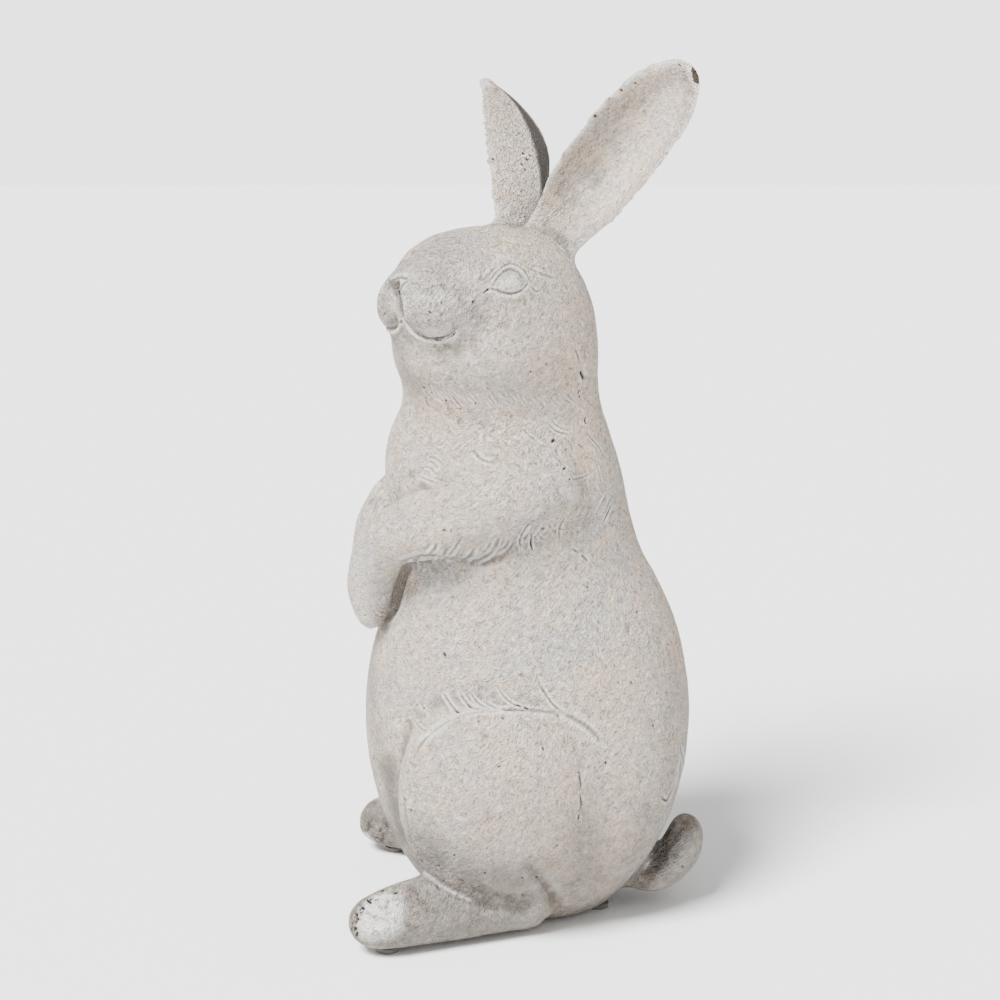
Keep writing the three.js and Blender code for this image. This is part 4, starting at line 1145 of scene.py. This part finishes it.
def combine(operation, a, b):
    """Adds or multiplies two values, each a number or a socket."""
    node = tree_nodes.new("ShaderNodeMath")
    node.operation = operation
    for socket, value in zip(node.inputs, (a, b)):
        if isinstance(value, (int, float)):
            socket.default_value = value
        else:
            wires.new(value, socket)
    return node.outputs["Value"]


def mark(name):
    """What the skin remembers at a place, by the name of the attribute."""
    node = tree_nodes.new("ShaderNodeAttribute")
    node.attribute_name = name
    return node.outputs["Fac"]


def tint(base, colour, amount):
    """Lays one colour over another by an amount."""
    node = tree_nodes.new("ShaderNodeMix")
    node.data_type = "RGBA"
    node.clamp_factor = True
    for socket, value in ((6, base), (7, colour)):
        if isinstance(value, tuple):
            node.inputs[socket].default_value = (*value, 1)
        else:
            wires.new(value, node.inputs[socket])
    wires.new(amount, node.inputs[0])
    return node.outputs[2]


def bump(height, strength, depth):
    """Makes a pattern stand out in the light, up to a depth in metres."""
    node = tree_nodes.new("ShaderNodeBump")
    node.inputs["Strength"].default_value = strength
    node.inputs["Distance"].default_value = depth
    wires.new(height, node.inputs["Height"])
    wires.new(node.outputs["Normal"], shader.inputs["Normal"])


tree_nodes, wires, shader, place = open_finish(coat)
shader.inputs["Roughness"].default_value = 0.92
shader.inputs["Specular IOR Level"].default_value = 0.25
STONE = (0.59, 0.487, 0.40)
STONE_COOL = (0.505, 0.462, 0.42)
STONE_WARM = (0.67, 0.51, 0.38)
CHALK = (0.86, 0.83, 0.79)
DARK_BROWN = (0.12, 0.10, 0.08)
SHADE = (0.20, 0.18, 0.16)
NEAR_BLACK = (0.02, 0.018, 0.016)
PAINTED_SHADE_BLACK = (0.035, 0.031, 0.028)
BARE_RESIN = (0.06, 0.046, 0.034)
COAT_RELIEF = 0.0056
sand = grain(1500, 2.0, 0.6)
crumbs = grain(620, 2.5, 0.55, wander=1.4)
strokes = grain(760, 2.0, 0.5, stretch=((0.75, 0, 0), (1, 2.4, 1)), wander=0.8)
patch = grain(75, 4.0, 0.6)
cloud = grain(24, 3.0, 0.5)
flecks = grain(900, 2.0, 0.7)
relief = combine("ADD", combine("MULTIPLY", sand, 0.3), combine("MULTIPLY", crumbs, 0.4))
relief = combine("ADD", relief, combine("MULTIPLY", strokes, 0.3))
colour = tint(STONE, STONE_COOL, remap(cloud, 0.42, 0.6))
colour = tint(colour, STONE_WARM, remap(patch, 0.46, 0.66, 0, 0.85))
# Painted shade in the hollows of the sand.
colour = tint(colour, SHADE, remap(relief, 0.49, 0.36, 0, 0.95))
colour = tint(colour, CHALK, remap(relief, 0.52, 0.64, 0, 0.85))
colour = tint(colour, DARK_BROWN, remap(flecks, 0.3, 0.22, 0, 0.9))
# Painted shade in the fine creases.
colour = tint(colour, SHADE, remap(mark("fold"), 0.15, 0.9, 0, 0.75))
colour = tint(colour, CHALK, remap(mark("fold"), -0.25, -0.9, 0, 0.7))
# Rubbed white on the lips, and painted light on the near paw.
colour = tint(colour, CHALK, combine("MULTIPLY", mark("rubbed_white_and_lit"), 0.75))
# Painted shade under things and in recesses, with grime low down.
dusky = combine("MULTIPLY", mark("grime_and_shade"), remap(grain(110, 4.0, 0.65), 0.3, 0.65, 0.55, 1.05))
colour = tint(colour, SHADE, dusky)
# Brown dirt, and painted shade in the same brown.
soiled_and_shaded = combine("MULTIPLY", mark("dirt_and_shade"), remap(grain(260, 5.0, 0.75), 0.34, 0.6))
colour = tint(colour, DARK_BROWN, combine("MULTIPLY", soiled_and_shaded, 0.85))
# Painted shade, near black, on the strip of the far ear that turns away from the light.
colour = tint(colour, PAINTED_SHADE_BLACK, combine("MULTIPLY", mark("far_ear_painted_shade"), 0.86))
patchy = combine("MULTIPLY", mark("worn"), remap(grain(330, 5.0, 0.75), 0.38, 0.52, 0.1, 1.0))
colour = tint(colour, CHALK, patchy)
# The pits and the bottoms of the grooves near black: painted shade, with dirt.
holes = remap(mark("pitted"), 0.2, 0.75)
colour = tint(colour, NEAR_BLACK, holes)
bared = remap(combine("ADD", mark("chip"), remap(grain(900, 3.0, 0.6), 0.3, 0.7, -0.25, 0.25)), 0.4, 0.55)
colour = tint(colour, BARE_RESIN, bared)
wires.new(colour, shader.inputs["Base Color"])
height = combine("MULTIPLY", relief, remap(mark("smooth"), 0.0, 1.0, 1.0, 0.4))
height = combine("ADD", height, combine("MULTIPLY", combine("MULTIPLY", strokes, 0.6), mark("rough")))
bump(height, 1.0, COAT_RELIEF)

# Dowels: cut lengths of drawn steel rod, three millimetres thick, with fine scratches along them. Each is
# glued into a blind hole on either side of a glue line, and all of them are hidden inside the castings.
STEEL_DULL = (0.42, 0.43, 0.44)
STEEL_BRIGHT = (0.62, 0.63, 0.64)
rod = bpy.data.materials.new("drawn steel")
tree_nodes, wires, shader, place = open_finish(rod)
shader.inputs["Metallic"].default_value = 1
drawn = grain(900, 3.0, 0.6)
wires.new(tint(STEEL_DULL, STEEL_BRIGHT, drawn), shader.inputs["Base Color"])
wires.new(remap(drawn, 0.3, 0.7, 0.28, 0.5), shader.inputs["Roughness"])


def finish_nodes(start, finish):
    """Gives a material to the CAD nodes whose names start so."""
    for name, node in nodes.items():
        if name.startswith(start):
            for slot in node.material_slots:
                slot.material = finish


finish_nodes("dowel", rod)

# Felt discs: punched from pressed dark wool, matt and a little hairy. They are glued under the feet and the
# rump, so that the hard casting does not scratch what it stands on.
WOOL_DARK = (0.10, 0.095, 0.088)
WOOL_PALE = (0.2, 0.19, 0.175)
HAIR_DEPTH = 0.0003
wool = bpy.data.materials.new("pressed felt")
tree_nodes, wires, shader, place = open_finish(wool)
shader.inputs["Roughness"].default_value = 1
shader.inputs["Sheen Weight"].default_value = 0.3
wires.new(tint(WOOL_DARK, WOOL_PALE, grain(1800, 4.0, 0.7)), shader.inputs["Base Color"])
bump(grain(2500, 4.0, 0.7), 0.6, HAIR_DEPTH)
finish_nodes("felt", wool)

# The floor: a wide sheet of plain, matt, pale paper, laid flat. The figure stands on it on its felt discs and
# isn't fixed to it.
FLOOR_HALF = 1.5
PAPER = (0.93, 0.93, 0.93)
sheet = bmesh.new()
bmesh.ops.create_grid(sheet, x_segments=1, y_segments=1, size=FLOOR_HALF)
floor_mesh = bpy.data.meshes.new("floor")
sheet.to_mesh(floor_mesh)
sheet.free()
floor = bpy.data.objects.new("floor", floor_mesh)
scene.collection.objects.link(floor)
paper = bpy.data.materials.new("pale paper")
paper.use_nodes = True
paper.node_tree.nodes["Principled BSDF"].inputs["Base Color"].default_value = (*PAPER, 1)
paper.node_tree.nodes["Principled BSDF"].inputs["Roughness"].default_value = 1
floor_mesh.materials.append(paper)

# The light: a dim, even sky above the horizon, a pale glow below it that shows behind the figure, and one
# soft sun high up, in front of the figure and on the camera's side.
sky = bpy.data.worlds.new("studio")
scene.world = sky
sky.use_nodes = True
SKY_GLOW = 0.85
LOW_GLOW = 2.9
HORIZON_BLUR = 0.02
sky_nodes = sky.node_tree.nodes
sky_wires = sky.node_tree.links
direction = sky_nodes.new("ShaderNodeSeparateXYZ")
sky_wires.new(sky_nodes.new("ShaderNodeTexCoord").outputs["Generated"], direction.inputs["Vector"])
horizon = sky_nodes.new("ShaderNodeMapRange")
horizon.inputs["From Min"].default_value = -HORIZON_BLUR
horizon.inputs["From Max"].default_value = HORIZON_BLUR
horizon.inputs["To Min"].default_value = LOW_GLOW
horizon.inputs["To Max"].default_value = SKY_GLOW
sky_wires.new(direction.outputs["Z"], horizon.inputs["Value"])
sky_nodes["Background"].inputs["Color"].default_value = (1, 1, 1, 1)
sky_wires.new(horizon.outputs["Result"], sky_nodes["Background"].inputs["Strength"])
KEY_FROM = (0.84, -0.7, 1.38)
KEY_POWER = 10.6
KEY_SPREAD = math.radians(22)
light = bpy.data.lights.new("key", "SUN")
light.energy = KEY_POWER
light.angle = KEY_SPREAD
lamp = bpy.data.objects.new("key", light)
lamp.location = KEY_FROM
lamp.rotation_mode = "QUATERNION"
lamp.rotation_quaternion = (-Vector(KEY_FROM)).to_track_quat("-Z", "Y")
scene.collection.objects.link(lamp)
